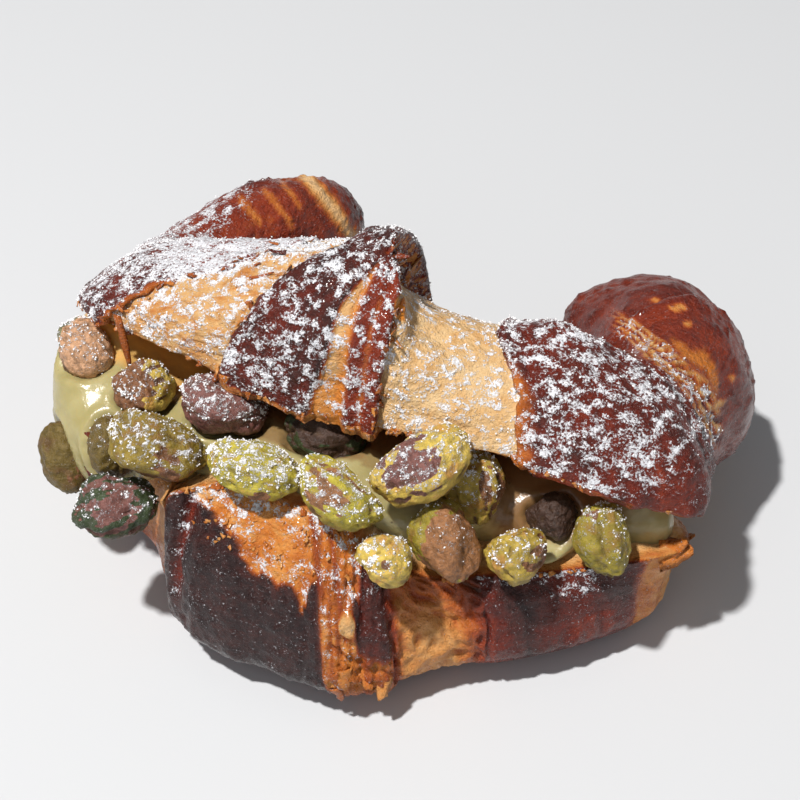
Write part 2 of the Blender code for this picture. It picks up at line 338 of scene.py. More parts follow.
# %% Seams
TOP_SEAMS = (
    ((0, 2.0), (0.3, 1.5), (0.4, 1.0), (0.45, 0.72), (0.52, 0.25), (0.6, 0.12), (1, 0.12)),
    ((0, 5.0), (0.3, 4.85), (0.42, 4.2), (0.5, 3.7), (0.7, 4.2), (1, 5.0)),
    ((0, 5.9), (0.12, 6.0), (0.25, 6.12), (0.31, 6.25), (0.4, 6.45), (0.5, 6.5), (1, 6.2)),
    ((0, 7.0), (0.2, 7.02), (0.3, 6.95), (0.4, 6.9), (0.5, 6.85), (1, 7.0)),
    ((0, 8.98), (0.26, 9.0), (0.36, 8.95), (0.45, 8.97), (0.55, 9.12), (0.63, 9.25), (1, 9.0)),
    ((0, 12.0), (0.15, 11.95), (0.27, 12.05), (0.35, 11.98), (0.5, 11.8), (1, 11.9)),
    ((0, 15.2), (0.2, 15.0), (0.33, 14.65), (0.45, 14.3), (0.55, 13.95), (1, 13.9)),
    ((0, 16.9), (0.3, 16.5), (0.5, 16.7), (1, 16.7)),
)
TOP_BANDS = (
    (0.99, 0.96, 0.00),
    (0.96, 0.99, 0.01),
    (0.99, 1.01, 0.02),
    (0.965, 0.95, 0.02),
    (1.01, 1.02, 0.02),
    (0.95, 0.95, 0.02),
    (1.00, 0.99, 0.02),
    (0.96, 0.99, 0.01),
    (0.96, 0.985, 0.00),
)
TOP_RINGS = (40, 58, 34, 44, 66, 48, 60, 34, 34)
TOP_END_SPANS = (1.0, 1.4)
BOTTOM_SEAMS = (
    ((0, 4.05), (0.1, 4.0), (0.2, 4.05), (1, 4.0)),
    ((0, 7.95), (0.1, 8.0), (0.2, 8.05), (1, 8.0)),
    ((0, 9.9), (0.1, 9.72), (0.2, 9.6), (1, 9.8)),
)
BOTTOM_BANDS = (
    (0.97, 0.93, 0.02),
    (1.00, 1.01, 0.02),
    (0.93, 0.985, 0.00),
    (0.985, 0.98, 0.02),
)
BOTTOM_RINGS = (74, 108, 44, 84)
BOTTOM_END_SPANS = (1.0, 1.0)
SEAM_JITTER = 0.05
TUCK_UNDER = 0.09


def spread(count, crowding=0.5):
    """Shares from 0 to 1 that crowd at both ends, where the seams are."""
    even = (np.arange(count) + 0.5) / count
    return (1 - crowding) * even + crowding * (0.5 - 0.5 * np.cos(np.pi * even))


def ring_rows(seams, bands, counts, last, ways):
    """Rings by ways: each point's row, its band, its share of the band and its thickness."""
    lines = [np.zeros_like(ways)]
    for number, knots in enumerate(seams):
        wander = lumps(np.stack((ways * 110, 0 * ways, 0 * ways), axis=-1), 4.5, 31 + number)
        lines.append(np.interp(ways, *zip(*knots)) + SEAM_JITTER * wander)
    lines.append(np.full_like(ways, last))
    rows, numbers, shares, thicknesses = [], [], [], []
    for k, (first, final, swell) in enumerate(bands):
        share = spread(counts[k])[:, None]
        if k == 0:
            share = 1 - np.cos(share * np.pi / 2)
        if k == len(bands) - 1:
            share = np.sin(share * np.pi / 2)
        row = lines[k] + (lines[k + 1] - lines[k]) * share
        if k > 0 and bands[k - 1][1] > first:
            row = row - TUCK_UNDER * (1 - share) ** 8
        if k < len(bands) - 1 and bands[k + 1][0] > final:
            row = row + TUCK_UNDER * share**8
        rows.append(row)
        numbers.append(np.full_like(row, k))
        shares.append(share + 0 * row)
        thickness = first + (final - first) * share + swell * np.sin(np.pi * share)
        thicknesses.append(thickness + 0 * row)
    return [np.concatenate(part) for part in (rows, numbers, shares, thicknesses)]


def rolled_lip(band, share, bands):
    """How far the edge of a thicker band stands out as a rounded lip, in mm."""
    lip = np.zeros_like(share)
    for k, (first, final, _) in enumerate(bands):
        here = band == k
        if k > 0 and bands[k - 1][1] < first:
            lip += here * (0.5 * bump(share, 0.05, 0.05) - 0.7 * bump(share, 0, 0.014))
        if k < len(bands) - 1 and bands[k + 1][0] < final:
            lip += here * (0.5 * bump(share, 0.95, 0.05) - 0.7 * bump(share, 1, 0.014))
    return lip


print("rings:", sum(TOP_RINGS), "upper,", sum(BOTTOM_RINGS), "lower")

# %% [markdown]
# ## One half as a mesh
# The points lie on a grid: rings along the roll, and ways round it. The grid goes over the crust
# from the front rim to the back rim, and returns along the cut face. Relief pushes every crust
# point out or in along the direction that the smooth surface faces. Each point also keeps a few
# numbers, such as how dark it is baked and how much sugar lies on it, which the finish reads
# later. That keeps colour and relief together: a blister is both raised and darker.


# %% Grid to mesh
def facing(grid, middle):
    """The outward direction at each point of a grid round this middle."""
    normal = np.cross(np.gradient(grid, axis=0), np.gradient(grid, axis=1))
    normal = normal / np.maximum(np.linalg.norm(normal, axis=-1, keepdims=True), 1e-9)
    return normal * np.sign(np.einsum("ijk,ijk->ij", normal, grid - middle))[..., None]


def grid_faces(rings, around):
    """The quads between the points of a grid whose rings are closed."""
    ring = np.arange(rings - 1)[:, None] * around
    place = np.arange(around)[None, :]
    following = (place + 1) % around
    corners = ring + place, ring + following, ring + around + following, ring + around + place
    return np.stack(corners, axis=-1).reshape(-1, 4)


def finish_mesh(mesh, marks):
    """Stores marks at the points of a mesh, and shades it smooth."""
    for key, values in marks.items():
        stored = mesh.attributes.new(key, "FLOAT", "POINT")
        stored.data.foreach_set("value", np.array(values, np.float32))
    mesh.polygons.foreach_set("use_smooth", [True] * len(mesh.polygons))
    mesh.update()


def mesh_from_grid(name, grid, marks, ends):
    """A closed mesh from rings by places round them, with an end point at each end."""
    rings, around = grid.shape[:2]
    points = np.concatenate((grid.reshape(-1, 3), np.array(ends))) * MM
    first, last, final = rings * around, rings * around + 1, (rings - 1) * around
    caps = [(first, (j + 1) % around, j) for j in range(around)]
    caps += [(last, final + j, final + (j + 1) % around) for j in range(around)]
    mesh = bpy.data.meshes.new(name)
    mesh.from_pydata(points.tolist(), [], grid_faces(rings, around).tolist() + caps)
    finish_mesh(mesh, {
        key: np.concatenate((values.reshape(-1), (values[0].mean(), values[-1].mean())))
        for key, values in marks.items()
    })
    return mesh


def signed_volume(mesh):
    """Above 0 when the faces look outwards."""
    mesh.calc_loop_triangles()
    corners = np.array([v.co for v in mesh.vertices])
    triangles = corners[np.array([t.vertices for t in mesh.loop_triangles])]
    return np.einsum("ij,ij->", triangles[:, 0], np.cross(triangles[:, 1], triangles[:, 2])) / 6


def stay_inside(points, box, margin=0.8):
    """Eases points that reach past the box in mm back to just within it."""
    low, high = np.array(box[0]) / MM, np.array(box[1]) / MM
    over = points - (high - margin)
    points = np.where(over > 0, high - margin + margin * np.tanh(over / margin), points)
    under = (low + margin) - points
    lifted = low + margin - margin * np.tanh(under / margin)
    return np.where(under > 0, lifted, points)


def add_piece(mesh, finish, *nodes, slot=None):
    """Puts a mesh in the scene as a piece that stands for these solids."""
    if signed_volume(mesh) < 0:
        mesh.flip_normals()
    piece = bpy.data.objects.new(mesh.name, mesh)
    mesh.materials.append(finish)
    bpy.context.scene.collection.objects.link(piece)
    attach(piece, "root")
    if nodes:
        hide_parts(*nodes)
    return piece


print("box kept within:", in_mm(cad_box))

# %% [markdown]
# ## How the upper crust is baked
# Turns of the dough that stuck out browned to a dark purple-brown. Turns that were covered until
# the dough rose are pale and silky. The two halves of one croissant show both. Each band gets its
# own darkness, and then the marks that only this croissant has: the long tear beside the top, the
# ragged point, and the amber hollow next to it.

# %% Marks of the upper half
TOP_BAKES = (0.66, 0.60, 0.80, 0.17, 0.84, 0.07, 0.78, 0.64, 0.66)
TOP_SUGARS = (0.02, 0.06, 0.52, 0.54, 0.46, 0.42, 0.54, 0.05, 0.02)
# Lines, spans and spots that belong to this one croissant, in the camera's view, which is 800
# units wide and high with 0 at the upper left.
VIEW_SIZE = 800
BRIGHT_STRIP = ((140, 275), (190, 255), (250, 245), (305, 232))
HORN_STRIPE = ((296, 160), (310, 176), (325, 193), (338, 212), (352, 240))
HORN_SHADOW = ((296, 168), (325, 205), (345, 250))
HORN_TIP, HORN_TIP_LEVEL = (338, 352), 200
HORN_DUST, HORN_DUST_LEVEL = (262, 214), 205
HORN_STREAKS = (
    ((262, 186), (277, 204), (292, 226)),
    ((238, 196), (250, 208), (262, 222)),
    ((280, 178), (292, 192), (300, 206)),
)
RIGHT_SEAM = ((585, 298), (607, 318), (640, 340), (668, 362), (690, 388), (706, 415), (716, 450))
STRIP_START = (155, 190)
SEAM_SPAN = (600, 630, 717, 727)
ORANGE_SPAN = (655, 685, 714, 727)
AMBER_HOLLOW = (403, 308), (9, 11)
# Pale edges of layers: distance from the seam, width and paleness.
SEAM_LINES = ((-5, 1.6, 0.42), (0, 1.9, 0.58), (6, 1.8, 0.62), (11, 2.6, 0.42))
# Pale patches on the right horn: middle, then width and height.
HORN_PATCHES = (
    ((678, 307), (11, 4.5)), ((688, 322), (6, 4)), ((733, 378), (4, 6)), ((722, 402), (8, 5)),
    ((655, 296), (7, 3)),
)
THIN_SUGAR_FROM = (600, 465)
FADING_EDGE = ((350, 427, 473), (642, 668, 664))
# Depth, size in mm and seed of each layer of wear along the front rim.
RIM_WEAR = ((0.006, 7, 51), (0.004, 2.2, 53), (0.003, 0.9, 57))
ROW_LENGTH = 13
OUTSIDE_WAYS = 185
INSIDE_WAYS = 42


class Marks:
    """Darkness, sugar, amber tint and raised relief in mm at each point of one half's crust."""

    def __init__(self, bakes, sugars, band, relief):
        self.bake = np.take(bakes, band.astype(int)) + 0 * relief
        self.sugar = np.take(sugars, band.astype(int)) + 0 * relief
        self.amber = np.zeros_like(relief)
        self.relief = relief

    def add(self, where, **amounts):
        """Adds to the named marks, as far as the mask says."""
        for name, amount in amounts.items():
            setattr(self, name, getattr(self, name) + amount * where)

    def blend(self, where, **targets):
        """Takes the named marks towards a target, as far as the mask says."""
        for name, target in targets.items():
            value = getattr(self, name)
            setattr(self, name, value + where * (target - value))


def seen_from_front(place):
    """Where points in mm come in the camera's view."""
    forward = -np.array(towards_camera)
    side = np.cross(forward, (0, 0, 1))
    side = side / np.linalg.norm(side)
    above = np.cross(side, forward)
    offset = place - (np.array(CAMERA_TARGET) - forward * CAMERA_DISTANCE) / MM
    zoom = VIEW_SIZE * CAMERA_LENS / SENSOR_WIDTH / (offset @ forward)
    middle = VIEW_SIZE / 2
    return middle + zoom * (offset @ side), middle - zoom * (offset @ above)


def from_line(x, y, line):
    """Distance from a line of points that runs to the right in that view; positive is above it."""
    xs, ys = np.array(line, float).T
    fall = np.gradient(ys, xs)
    return (np.interp(x, xs, ys) - y) / np.sqrt(1 + np.interp(x, xs, fall) ** 2)


def spot(x, y, centre, reach):
    """A soft oval in that view: 1 in its middle."""
    return bump(x, centre[0], reach[0]) * bump(y, centre[1], reach[1])


def rolled_out(row, way, round_it, shift=0):
    """Places on the crust laid out flat, in mm, for noise that runs along or across the roll."""
    return np.stack((row * ROW_LENGTH + shift, way * round_it, 0 * row), axis=-1)


def tear_edges(way):
    """The rows between which the pale tear beside the top lies, at each way over the roll."""
    left = np.interp(way, (0, 0.1, 0.17, 0.29, 0.385, 0.46), (8.15, 8.22, 8.25, 8.15, 8.2, 8.3))
    right = np.interp(way, (0, 0.12, 0.25, 0.36, 0.42, 0.46), (8.5, 8.5, 8.42, 8.35, 8.3, 8.3))
    return left, right


def top_marks(row, way, band, share, place):
    """The marks of the upper crust."""
    x, y = seen_from_front(place)
    wide, fine = crumple(place, 9, 3, 3), crumple(place, 2.2, 3, 5)
    m = Marks(TOP_BAKES, TOP_SUGARS, band, 0.4 * wide + 0.12 * fine)
    dark = step(0.4, 0.7, m.bake)
    pale = 1 - dark
    m.bake += 0.06 * wide + (0.05 - 0.01 * dark) * fine
    crackle = np.maximum(1 - 3 * np.abs(lumps(place, 2.6, 45)), -0.5)
    m.add(dark, relief=0.16 * crackle + 0.12 * lumps(place, 1.5, 46))

    # Fine lines of the layers run across the roll, next to each other like pages.
    pages = rolled_out(row, way, 9)
    lines = lumps(pages, 1.5, 41) + 0.6 * lumps(pages, 0.8, 43)
    m.relief += (0.06 + 0.1 * dark) * lines
    m.add(dark, bake=0.05 * lines)

    # The pale bands are silky and flaky, with thin torn scales.
    slope = 2.6 * lumps(place, (9, 6, 7), 47) + 1.3 * lumps(place, (4, 3, 3), 48)
    silky = 1 - 0.65 * (band == 5)
    riser = bump(slope - np.floor(slope), 0.85, 0.13)
    m.add(pale, relief=silky * (0.34 * ledges(slope) + 0.16 * lumps(place, 1.8, 49)),
          bake=0.13 * silky * riser + 0.05 * lumps(place, 3, 50),
          sugar=0.12 * lumps(place, 7, 52) - 0.15 * riser)

    # The tear: pale, sunk, with a sharp dark edge on its left.
    left, right = tear_edges(way)
    tear = window(row, left - 0.02, left + 0.03, right - 0.03, right + 0.05)
    tear = tear * step(0.47, 0.4, way) * (band == 4)
    m.blend(tear, bake=0.16 + 0.16 * step(right - 0.14, right, row) + 0.05 * fine,
            sugar=0.38 + 0.1 * wide)
    m.add(tear, relief=-0.9, amber=0.5 * step(right - 0.12, right, row))
    torn_edge = bump(row, left - 0.01, 0.035) * (band == 4) * step(0.47, 0.42, way)
    m.add(torn_edge, bake=0.14, relief=0.5)
    m.add(tear * step(0.13, 0.08, way), bake=0.12, amber=0.5)

    # The red-brown stripe on the right of the tear, with a bright line along its middle.
    stripe = step(right - 0.02, right + 0.04, row) * (band == 4) * step(0.5, 0.42, way)
    bright = bump(row, 0.55 * right + 0.45 * 8.98, 0.05) * stripe * step(0.38, 0.3, way)
    m.add(stripe, bake=-0.13 * (1 + 0.4 * lines), sugar=-0.12, relief=0.45 * (1 - bright))
    m.add(bright, bake=-0.2)

    # Amber hollow where the dough of the next turn shows under the point. It lies in shade,
    # but is painted paler and bright amber, a painted glow of light through the thin dough.
    m.relief -= 1.5 * window(row, 9.1, 9.4, 10.6, 11.8) * window(way, 0.3, 0.42, 0.66, 0.78)
    glowing = step(0.2, 0.6, spot(x, y, *AMBER_HOLLOW) * (way < 0.6) + 0.08 * fine)
    m.blend(glowing, bake=0.24)
    m.add(glowing, amber=1.3, sugar=-0.9)

    # Behind the point the crust is torn into ragged layers, purple-brown over orange.
    torn_place = (band >= 4) * (band <= 5) * window(row, 8.1, 8.3, 9.3, 9.6)
    torn_place = torn_place * window(way, 0.47, 0.52, 0.88, 0.95)
    layers = 2.2 * lumps(place, (4, 3.5, 2.5), 55) + place[..., 2] * 0.35
    orange_layer = step(0.35, 0.8, np.sin(2 * np.pi * layers) + 0.5 * fine)
    m.add(torn_place, relief=1.1 * (ledges(layers) - layers) + fine, amber=0.45 * orange_layer)
    m.blend(torn_place, bake=0.66 + 0.15 * fine - 0.46 * orange_layer,
            sugar=0.34 - 0.3 * orange_layer)

    # The lips of the dark bands glow orange where they are thin.
    lip = (band == 6) * step(0.10, 0.0, share + 0.02 * fine) * step(0.42, 0.3, way)
    m.add(lip, bake=-0.26, amber=0.55, sugar=-0.3)

    # The rim above the filling flares out and hangs over it. Its edge is thin, like bread crust.
    m.relief += 1.3 * step(0.09, 0.0, way) * window(row, 6.6, 7.2, 13, 14.5)
    cut_edge = step(0.007, 0.001, way + 0.002 * fine)
    m.blend(cut_edge, bake=0.36 + 0.24 * (band == 6) + 0.12 * fine)
    m.sugar *= 1 - 0.6 * cut_edge

    # The sugar lies thick on the second turn on the left, and fades towards the horn.
    m.add(band == 2, sugar=0.26 * step(0.24, 0.36, way), bake=-0.08 * step(0.3, 0.42, way))
    m.add(band == 1, sugar=0.3 * step(3.0, 4.2, row) * step(0.15, 0.3, way),
          bake=0.2 * step(3.4, 4.9, row) * step(0.34, 0.2, way))

    # Where it meets the pale turn beside it, the lip sinks into the sugar further back.
    meeting = step(0.26, 0.34, way)
    m.add((band == 3) * meeting, relief=0.6 * step(0.35, 0.0, share),
          sugar=0.25 * step(0.5, 0.0, share))
    m.add((band == 2) * meeting, relief=-0.6 * step(0.7, 1.0, share))
    red_lip = (band == 2) * step(0.90, 0.99, share) * step(0.34, 0.28, way)
    m.blend(red_lip, bake=0.5)
    m.add(red_lip, amber=0.35, sugar=-0.4)
    bright_strip = bump(from_line(x, y, BRIGHT_STRIP), 0, 15) * step(*STRIP_START, x)
    m.add(bright_strip * ((band == 2) | (band == 3)), sugar=0.85, bake=-0.1)

    # Left horn: a pale orange stripe where the last turn starts, and streaks that lean like it.
    horn = (band <= 1) + 0.0
    stripe = bump(from_line(x, y, HORN_STRIPE), 0, 6) * horn * window(way, 0.2, 0.3, 0.6, 0.7)
    m.add(stripe, bake=-0.58 - 0.08 * fine, amber=0.25, relief=0.3)
    m.add(horn, bake=0.16 * step(*HORN_TIP, x - 0.4 * (y - HORN_TIP_LEVEL))
          + 0.10 * bump(from_line(x, y, HORN_SHADOW), -7, 4))
    for line in HORN_STREAKS:
        start, end = line[0][0], line[-1][0]
        near = bump(from_line(x, y, line), 0, 4) * window(x, start - 4, start + 3, end - 3, end + 4)
        m.add(step(0.3, 0.95, near + 0.25 * fine) * horn, bake=-0.20, amber=0.3)
    dusty = horn * step(*HORN_DUST, x + 0.8 * (y - HORN_DUST_LEVEL) + 4 * wide)
    m.add(dusty * step(0.15, 0.3, way), sugar=0.60, bake=0.05)

    # Right side: pale edges of the layers along the seam, and orange on the horn beside it.
    seam = from_line(x, y, RIGHT_SEAM)
    near_seam = (band >= 6) * window(way, 0.12, 0.2, 0.7, 0.78) * window(x, *SEAM_SPAN)
    for offset, width, paleness in SEAM_LINES:
        m.add(bump(seam, offset + 0.8 * wide, width) * near_seam, bake=-paleness, relief=0.4)
    cracks = 0.5 * bump(seam, -2.5, 1.2) + 0.6 * bump(seam, 3, 1.2) + bump(seam, 8.5, 1.1)
    m.add(near_seam * cracks, bake=0.3, relief=-0.7)
    m.add(near_seam, sugar=0.46 * bump(seam, 2, 11))
    orange = near_seam * bump(seam, 19, 5) * window(x, *ORANGE_SPAN)
    m.add(step(0.3, 0.9, orange + 0.2 * wide), bake=-0.16, amber=0.75)
    for centre, reach in HORN_PATCHES:
        patch = spot(x, y, centre, reach) * (band >= 7)
        patch = step(0.25, 1.0, patch + 0.35 * fine + 0.15 * wide) * step(0.3, 0.5, patch)
        m.add(patch, bake=-0.44, amber=0.3)
    steep = (band == 6) * step(0.26, 0.12, way) * step(12.3, 13.2, row)
    m.add(steep * np.abs(lines), relief=0.35, bake=-0.1)

    # Sugar thins out towards the right horn and on the steep end of the dark band.
    from_x, from_y = THIN_SUGAR_FROM
    low_right = (band == 6) * step(0, 60, (x - from_x) * 0.55 + (y - from_y) + 14 * wide)
    fading = (band == 6) * step(0, 30, x - np.interp(y, *FADING_EDGE) + 6 * wide)
    m.add(low_right, sugar=-0.34)
    m.add(fading, sugar=-0.26 * (1 - low_right), bake=0.05)
    ridges = 1 - 2.4 * np.abs(lumps(rolled_out(row, way, 5), (3.2, 8, 3), 58))
    m.add(np.maximum(low_right, fading), bake=0.04 - 0.14 * ridges, relief=0.5 * ridges)
    m.add(band == 7, sugar=0.25 * step(0.3, 0.0, share) * step(0.2, 0.4, way))

    # Blisters rise on the glossy horns, and a few on the dark bands.
    glossy = np.clip((band <= 1) * step(3, 2.2, row) + (band >= 7), 0, 1)
    domes = blisters(place, 3.4, 7) + 0.6 * blisters(place, 2.1, 9)
    m.add(band >= 7, bake=0.05)
    m.add(domes, relief=0.5 * glossy + 0.12 * dark * (1 - glossy), bake=0.05 * glossy)
    return m


def top_lean(row, way):
    """Behind its point, the tallest turn leans to the left instead of bulging out."""
    rising = 3.4 * step(0.36, 0.5, way) + 3.6 * step(0.48, 0.62, way)
    amount = rising * step(1.0, 0.86, way) * bump(row, 9.05, 0.8)
    return amount[..., None] * np.array((-0.93, -0.37, 0.0))


def half_grid(rows, skin, spans, seams, bands, counts, marks_of, rim_wear, crumb,
              lean_of=lambda row, way: 0.0):
    """Crust and cut face of one half: its grid, marks and ends, and the crust's rows and ways."""
    last = len(rows) - 1
    even = np.linspace(0, 1, OUTSIDE_WAYS) ** 1.15
    row, band, share, thickness = ring_rows(seams, bands, counts, last, even)
    wear = rim_wear(row[:, 0])[:, None]
    way = wear + (1 - wear) * even[None, :]
    hanging = np.maximum(-way, 0)
    way = np.maximum(way, 0)
    smooth_grid = roll_point(rows, skin, spans, row, way, np.ones_like(row))
    middle = middle_of(rows, skin, row)
    outwards = facing(smooth_grid, middle)
    crust = roll_point(rows, skin, spans, row, way, thickness)
    step_in = roll_point(rows, skin, spans, row, way + 0.02, thickness)
    crust = crust + (crust - step_in) * (hanging / 0.02)[..., None]
    m = marks_of(row, way, band, share, smooth_grid)
    sugar = powder(m.sugar, smooth_grid, 1.9, 21)
    relief = m.relief + rolled_lip(band, share, bands) + 0.12 * sugar
    calm = end_rounding(row, last, spans)
    crust = crust + outwards * (relief * (0.4 + 0.6 * calm))[..., None] + lean_of(row, way)
    sugar = sugar * step(-0.7, 0.15, outwards[..., 2])

    share_in = (np.arange(INSIDE_WAYS) + 1) / (INSIDE_WAYS + 1)
    cut = crust[:, -1:, :] + (crust[:, :1, :] - crust[:, -1:, :]) * share_in[None, :, None]
    cut = crumb(cut, share_in, calm[:, :1])
    pale = 0.1 + 0.1 * crumple(cut, 3, 2, 23) + 0.34 * step(0.9, 1.0, share_in)[None, :]
    pairs = {"bake": (m.bake, pale), "sugar": (sugar, 0 * pale), "amber": (m.amber, 0.1 + 0 * pale)}
    marks = {name: np.concatenate(pair, axis=1) for name, pair in pairs.items()}
    ends = [middle[0].mean(axis=0), middle[-1].mean(axis=0)]
    return np.concatenate((crust, cut), axis=1), marks, ends, (row, way)


def top_rim_wear(row):
    """How far back the front rim is worn, as a share of the way over; below 0 it hangs."""
    along = rolled_out(row, 0 * row, 0)
    worn = sum(depth * lumps(along, size, seed) for depth, size, seed in RIM_WEAR)
    return worn - 0.012 * window(row, 6.6, 7.2, 13, 14.5)


def top_crumb(cut, share, calm):
    """The cut face of the upper half: hollowed a little behind the rims, with an open crumb."""
    holes = 0.7 * blisters(cut, 4.5, 61) + 0.4 * crumple(cut, 3, 2, 63)
    cut[..., 2] += 1.3 * window(share, 0, 0.06, 0.94, 1) * calm
    cut[..., 2] += window(share, 0, 0.1, 0.9, 1) * holes * calm
    return cut


top_grid, top_values, top_ends, top_places = half_grid(
    TOP_SECTIONS, upper_skin, TOP_END_SPANS, TOP_SEAMS, TOP_BANDS, TOP_RINGS,
    top_marks, top_rim_wear, top_crumb, top_lean,
)
top_grid = stay_inside(top_grid, cad_box)
top_mesh = mesh_from_grid("upper_crust", top_grid, top_values, top_ends)
print("upper half:", len(top_mesh.vertices), "points")

# %% [markdown]
# ## The lower half
# The lower half shows its front: a fat lobe on the left, almost black where it touched the tray,
# with an orange slope dusted with sugar above it; then a notch of pale, stretched dough; then a
# lower, darker turn that runs to the right end. It is built the same way as the upper half, with
# its own marks.

# %% Marks of the lower half
BOTTOM_BAKES = (0.30, 0.99, 0.30, 0.86)
BOTTOM_SUGARS = (0.12, 0.10, 0.02, 0.10)
# Rows, and how far down the front the orange slope reaches at each.
LOBE_EDGE = (
    (4.5, 4.79, 5.15, 5.36, 5.42, 5.51, 5.79, 6.03, 6.15, 6.21, 6.27, 6.34, 6.5),
    (0.01, 0.036, 0.058, 0.071, 0.086, 0.096, 0.101, 0.098, 0.108, 0.135, 0.11, 0.085, 0.08),
)
# Dark stripes down the lobe: middle row, width in rows and strength.
DARK_STRIPES = ((6.30, 0.06, 0.95), (6.60, 0.03, 0.5), (6.76, 0.045, 0.7), (6.97, 0.03, 0.3))
# Narrower ones in the camera's view: points y, x from the top down, then width and darkness.
NARROW_STRIPES = (
    (((505, 311), (530, 315), (560, 317), (592, 323)), 4, 0.66),
    (((530, 331), (560, 336), (600, 341), (640, 347)), 3, 0.62),
    (((560, 357), (600, 361), (640, 371)), 3, 0.50),
)
LOBE_CRACK = ((328, 640), (345, 654), (370, 667), (396, 673))
CRACK_SPAN = (326, 334, 390, 398)
BUBBLE = (348, 622), (9, 14)


def bottom_marks(row, way, band, share, place):
    """The marks of the lower crust."""
    x, y = seen_from_front(place)
    wide, fine = crumple(place, 8, 3, 71), crumple(place, 2.0, 3, 73)
    pages = rolled_out(row, way, 7)
    lines = lumps(pages, 1.6, 75) + 0.6 * lumps(pages, 0.8, 77)
    m = Marks(BOTTOM_BAKES, BOTTOM_SUGARS, band, 0.3 * wide + 0.08 * fine + 0.1 * lines)
    m.bake += 0.05 * wide + 0.03 * fine
    lobe, notch, right = ((band == k) + 0.0 for k in (1, 2, 3))

    # Folds run down the front of the lobe.
    folded = rolled_out(row, way, 18, 1.5 * wide)
    folds = lumps(folded, (6, 9, 9), 85) + 0.6 * lumps(folded, (2.4, 9, 9), 86)
    gills = 1 - 2.4 * np.abs(lumps(rolled_out(row, way, 10, 0.8 * wide), (2.6, 14, 3), 84))
    m.relief += (0.3 + 0.4 * lobe) * folds
    m.add(lobe * window(way, 0.05, 0.09, 0.26, 0.34) * gills, relief=0.32, bake=-0.03)

    # The orange slope above the dark front of the lobe, with a tongue that hangs down. Right of it
    # a dark stripe runs down, then rust-coloured stripes and a bubble of thin dough.
    edge = np.interp(row, *LOBE_EDGE)
    ragged = way + 0.006 * fine + 0.003 * wide
    slope = lobe * step(edge + 0.0025, edge - 0.0025, ragged) * step(7.42, 7.3, row)
    m.add(lobe, bake=-0.08 * step(edge + 0.018, edge + 0.002, ragged + 0.006 * fine))
    down = row - 2.2 * (way - 0.02) + 0.04 * lumps(place, 5, 82)
    striped = lobe * window(down, 6.3, 6.42, 7.04, 7.16) * step(0.27, 0.22, way)
    slope = np.maximum(slope * (1 - striped), striped * step(0.14, 0.04, ragged))
    grit = blisters(place, 1.5, 87) - blisters(place + 40, 2.1, 88)
    m.blend(slope, bake=0.37 + 0.10 * fine + 0.1 * wide - 0.1 * step(0.05, 0.0, way))
    # Painted shade and highlight: the grit is darker in its pits and paler on its bumps.
    grit_shade_and_highlight = 0.20 * step(0.2, -0.6, grit) - 0.14 * step(0.3, 0.9, grit)
    m.add(slope, relief=0.6 * grit + 0.35 * fine - 0.7, amber=0.5,
          bake=grit_shade_and_highlight + 0.2 * lumps(place, 4, 89),
          sugar=(0.24 + 0.22 * step(0.05, 0.0, way)) * step(0.16, 0.1, way))
    low_stripes = striped * (1 - slope)
    m.blend(low_stripes, bake=0.36 + 0.16 * fine + 0.14 * wide)
    m.add(low_stripes, amber=0.3, sugar=0.12, relief=0.6 * fine - 0.1 * lines)
    for centre, width, strength in DARK_STRIPES:
        stripe = lobe * bump(down, centre, width) * window(way, 0.01, 0.03, 0.2, 0.26)
        m.blend(stripe * strength, bake=0.88)
        m.blend(stripe * 0.4, sugar=0)
        m.add(stripe, relief=-0.35)
    for line, width, darkness in NARROW_STRIPES:
        top, end = line[0][0], line[-1][0]
        stripe = lobe * step(0.3, 0.8, bump(from_line(y, x, line), 0, width) + 0.15 * fine)
        stripe = stripe * window(y, top - 6, top + 2, end - 2, end + 6)
        m.blend(stripe, bake=darkness)
        m.blend(stripe * 0.6, amber=0)
        m.add(stripe, relief=-0.35)
    low = step(0.4, 0.3, way)
    crack = lobe * bump(from_line(x, y, LOBE_CRACK), 0, 2.5) * window(x, *CRACK_SPAN) * low
    m.blend(crack, bake=0.72)
    m.add(crack, relief=-0.9)
    bubble = lobe * step(0.35, 0.6, spot(x, y, *BUBBLE) * low)
    m.blend(bubble, bake=0.12 + 0.1 * fine)
    m.blend(bubble * 0.7, amber=0)
    m.add(bubble, relief=0.9)
    dark_band = lobe * step(7.36, 7.46, row + 0.03 * wide)
    m.blend(dark_band, bake=0.86 + 0.05 * fine, amber=0)
    m.add(dark_band, sugar=0.12 * step(0.1, 0.02, way))

    # A dark ridge at the left end of the lobe, then a paler band that the sugar caught.
    groove = bump(row + 0.9 * (way - 0.04), 4.58, 0.1) * lobe * window(way, 0.005, 0.02, 0.14, 0.22)
    m.add(groove, bake=-0.24, sugar=0.24, relief=-0.9)
    m.add(lobe, relief=0.7 * bump(row, 4.3, 0.12) + 0.5 * bump(row, 4.85, 0.12),
          sugar=0.08 * step(0.03, 0.0, way))
    m.add(lobe * step(4.2, 4.05, row), bake=-0.4, amber=0.3)

    # Low on the lobe, the crust is rubbed to rust brown and cracked.
    rubbed = lobe * step(6.9, 7.15, row) * step(0.155, 0.18, way + 0.01 * wide) * low
    m.blend(rubbed, bake=0.50 + 0.2 * fine + 0.12 * lines)
    m.add(rubbed, amber=0.2, relief=0.8 * fine + 0.3 * lines)
    m.add(lobe * step(0.09, 0.13, way), relief=0.16 * blisters(place, 1.5, 79))

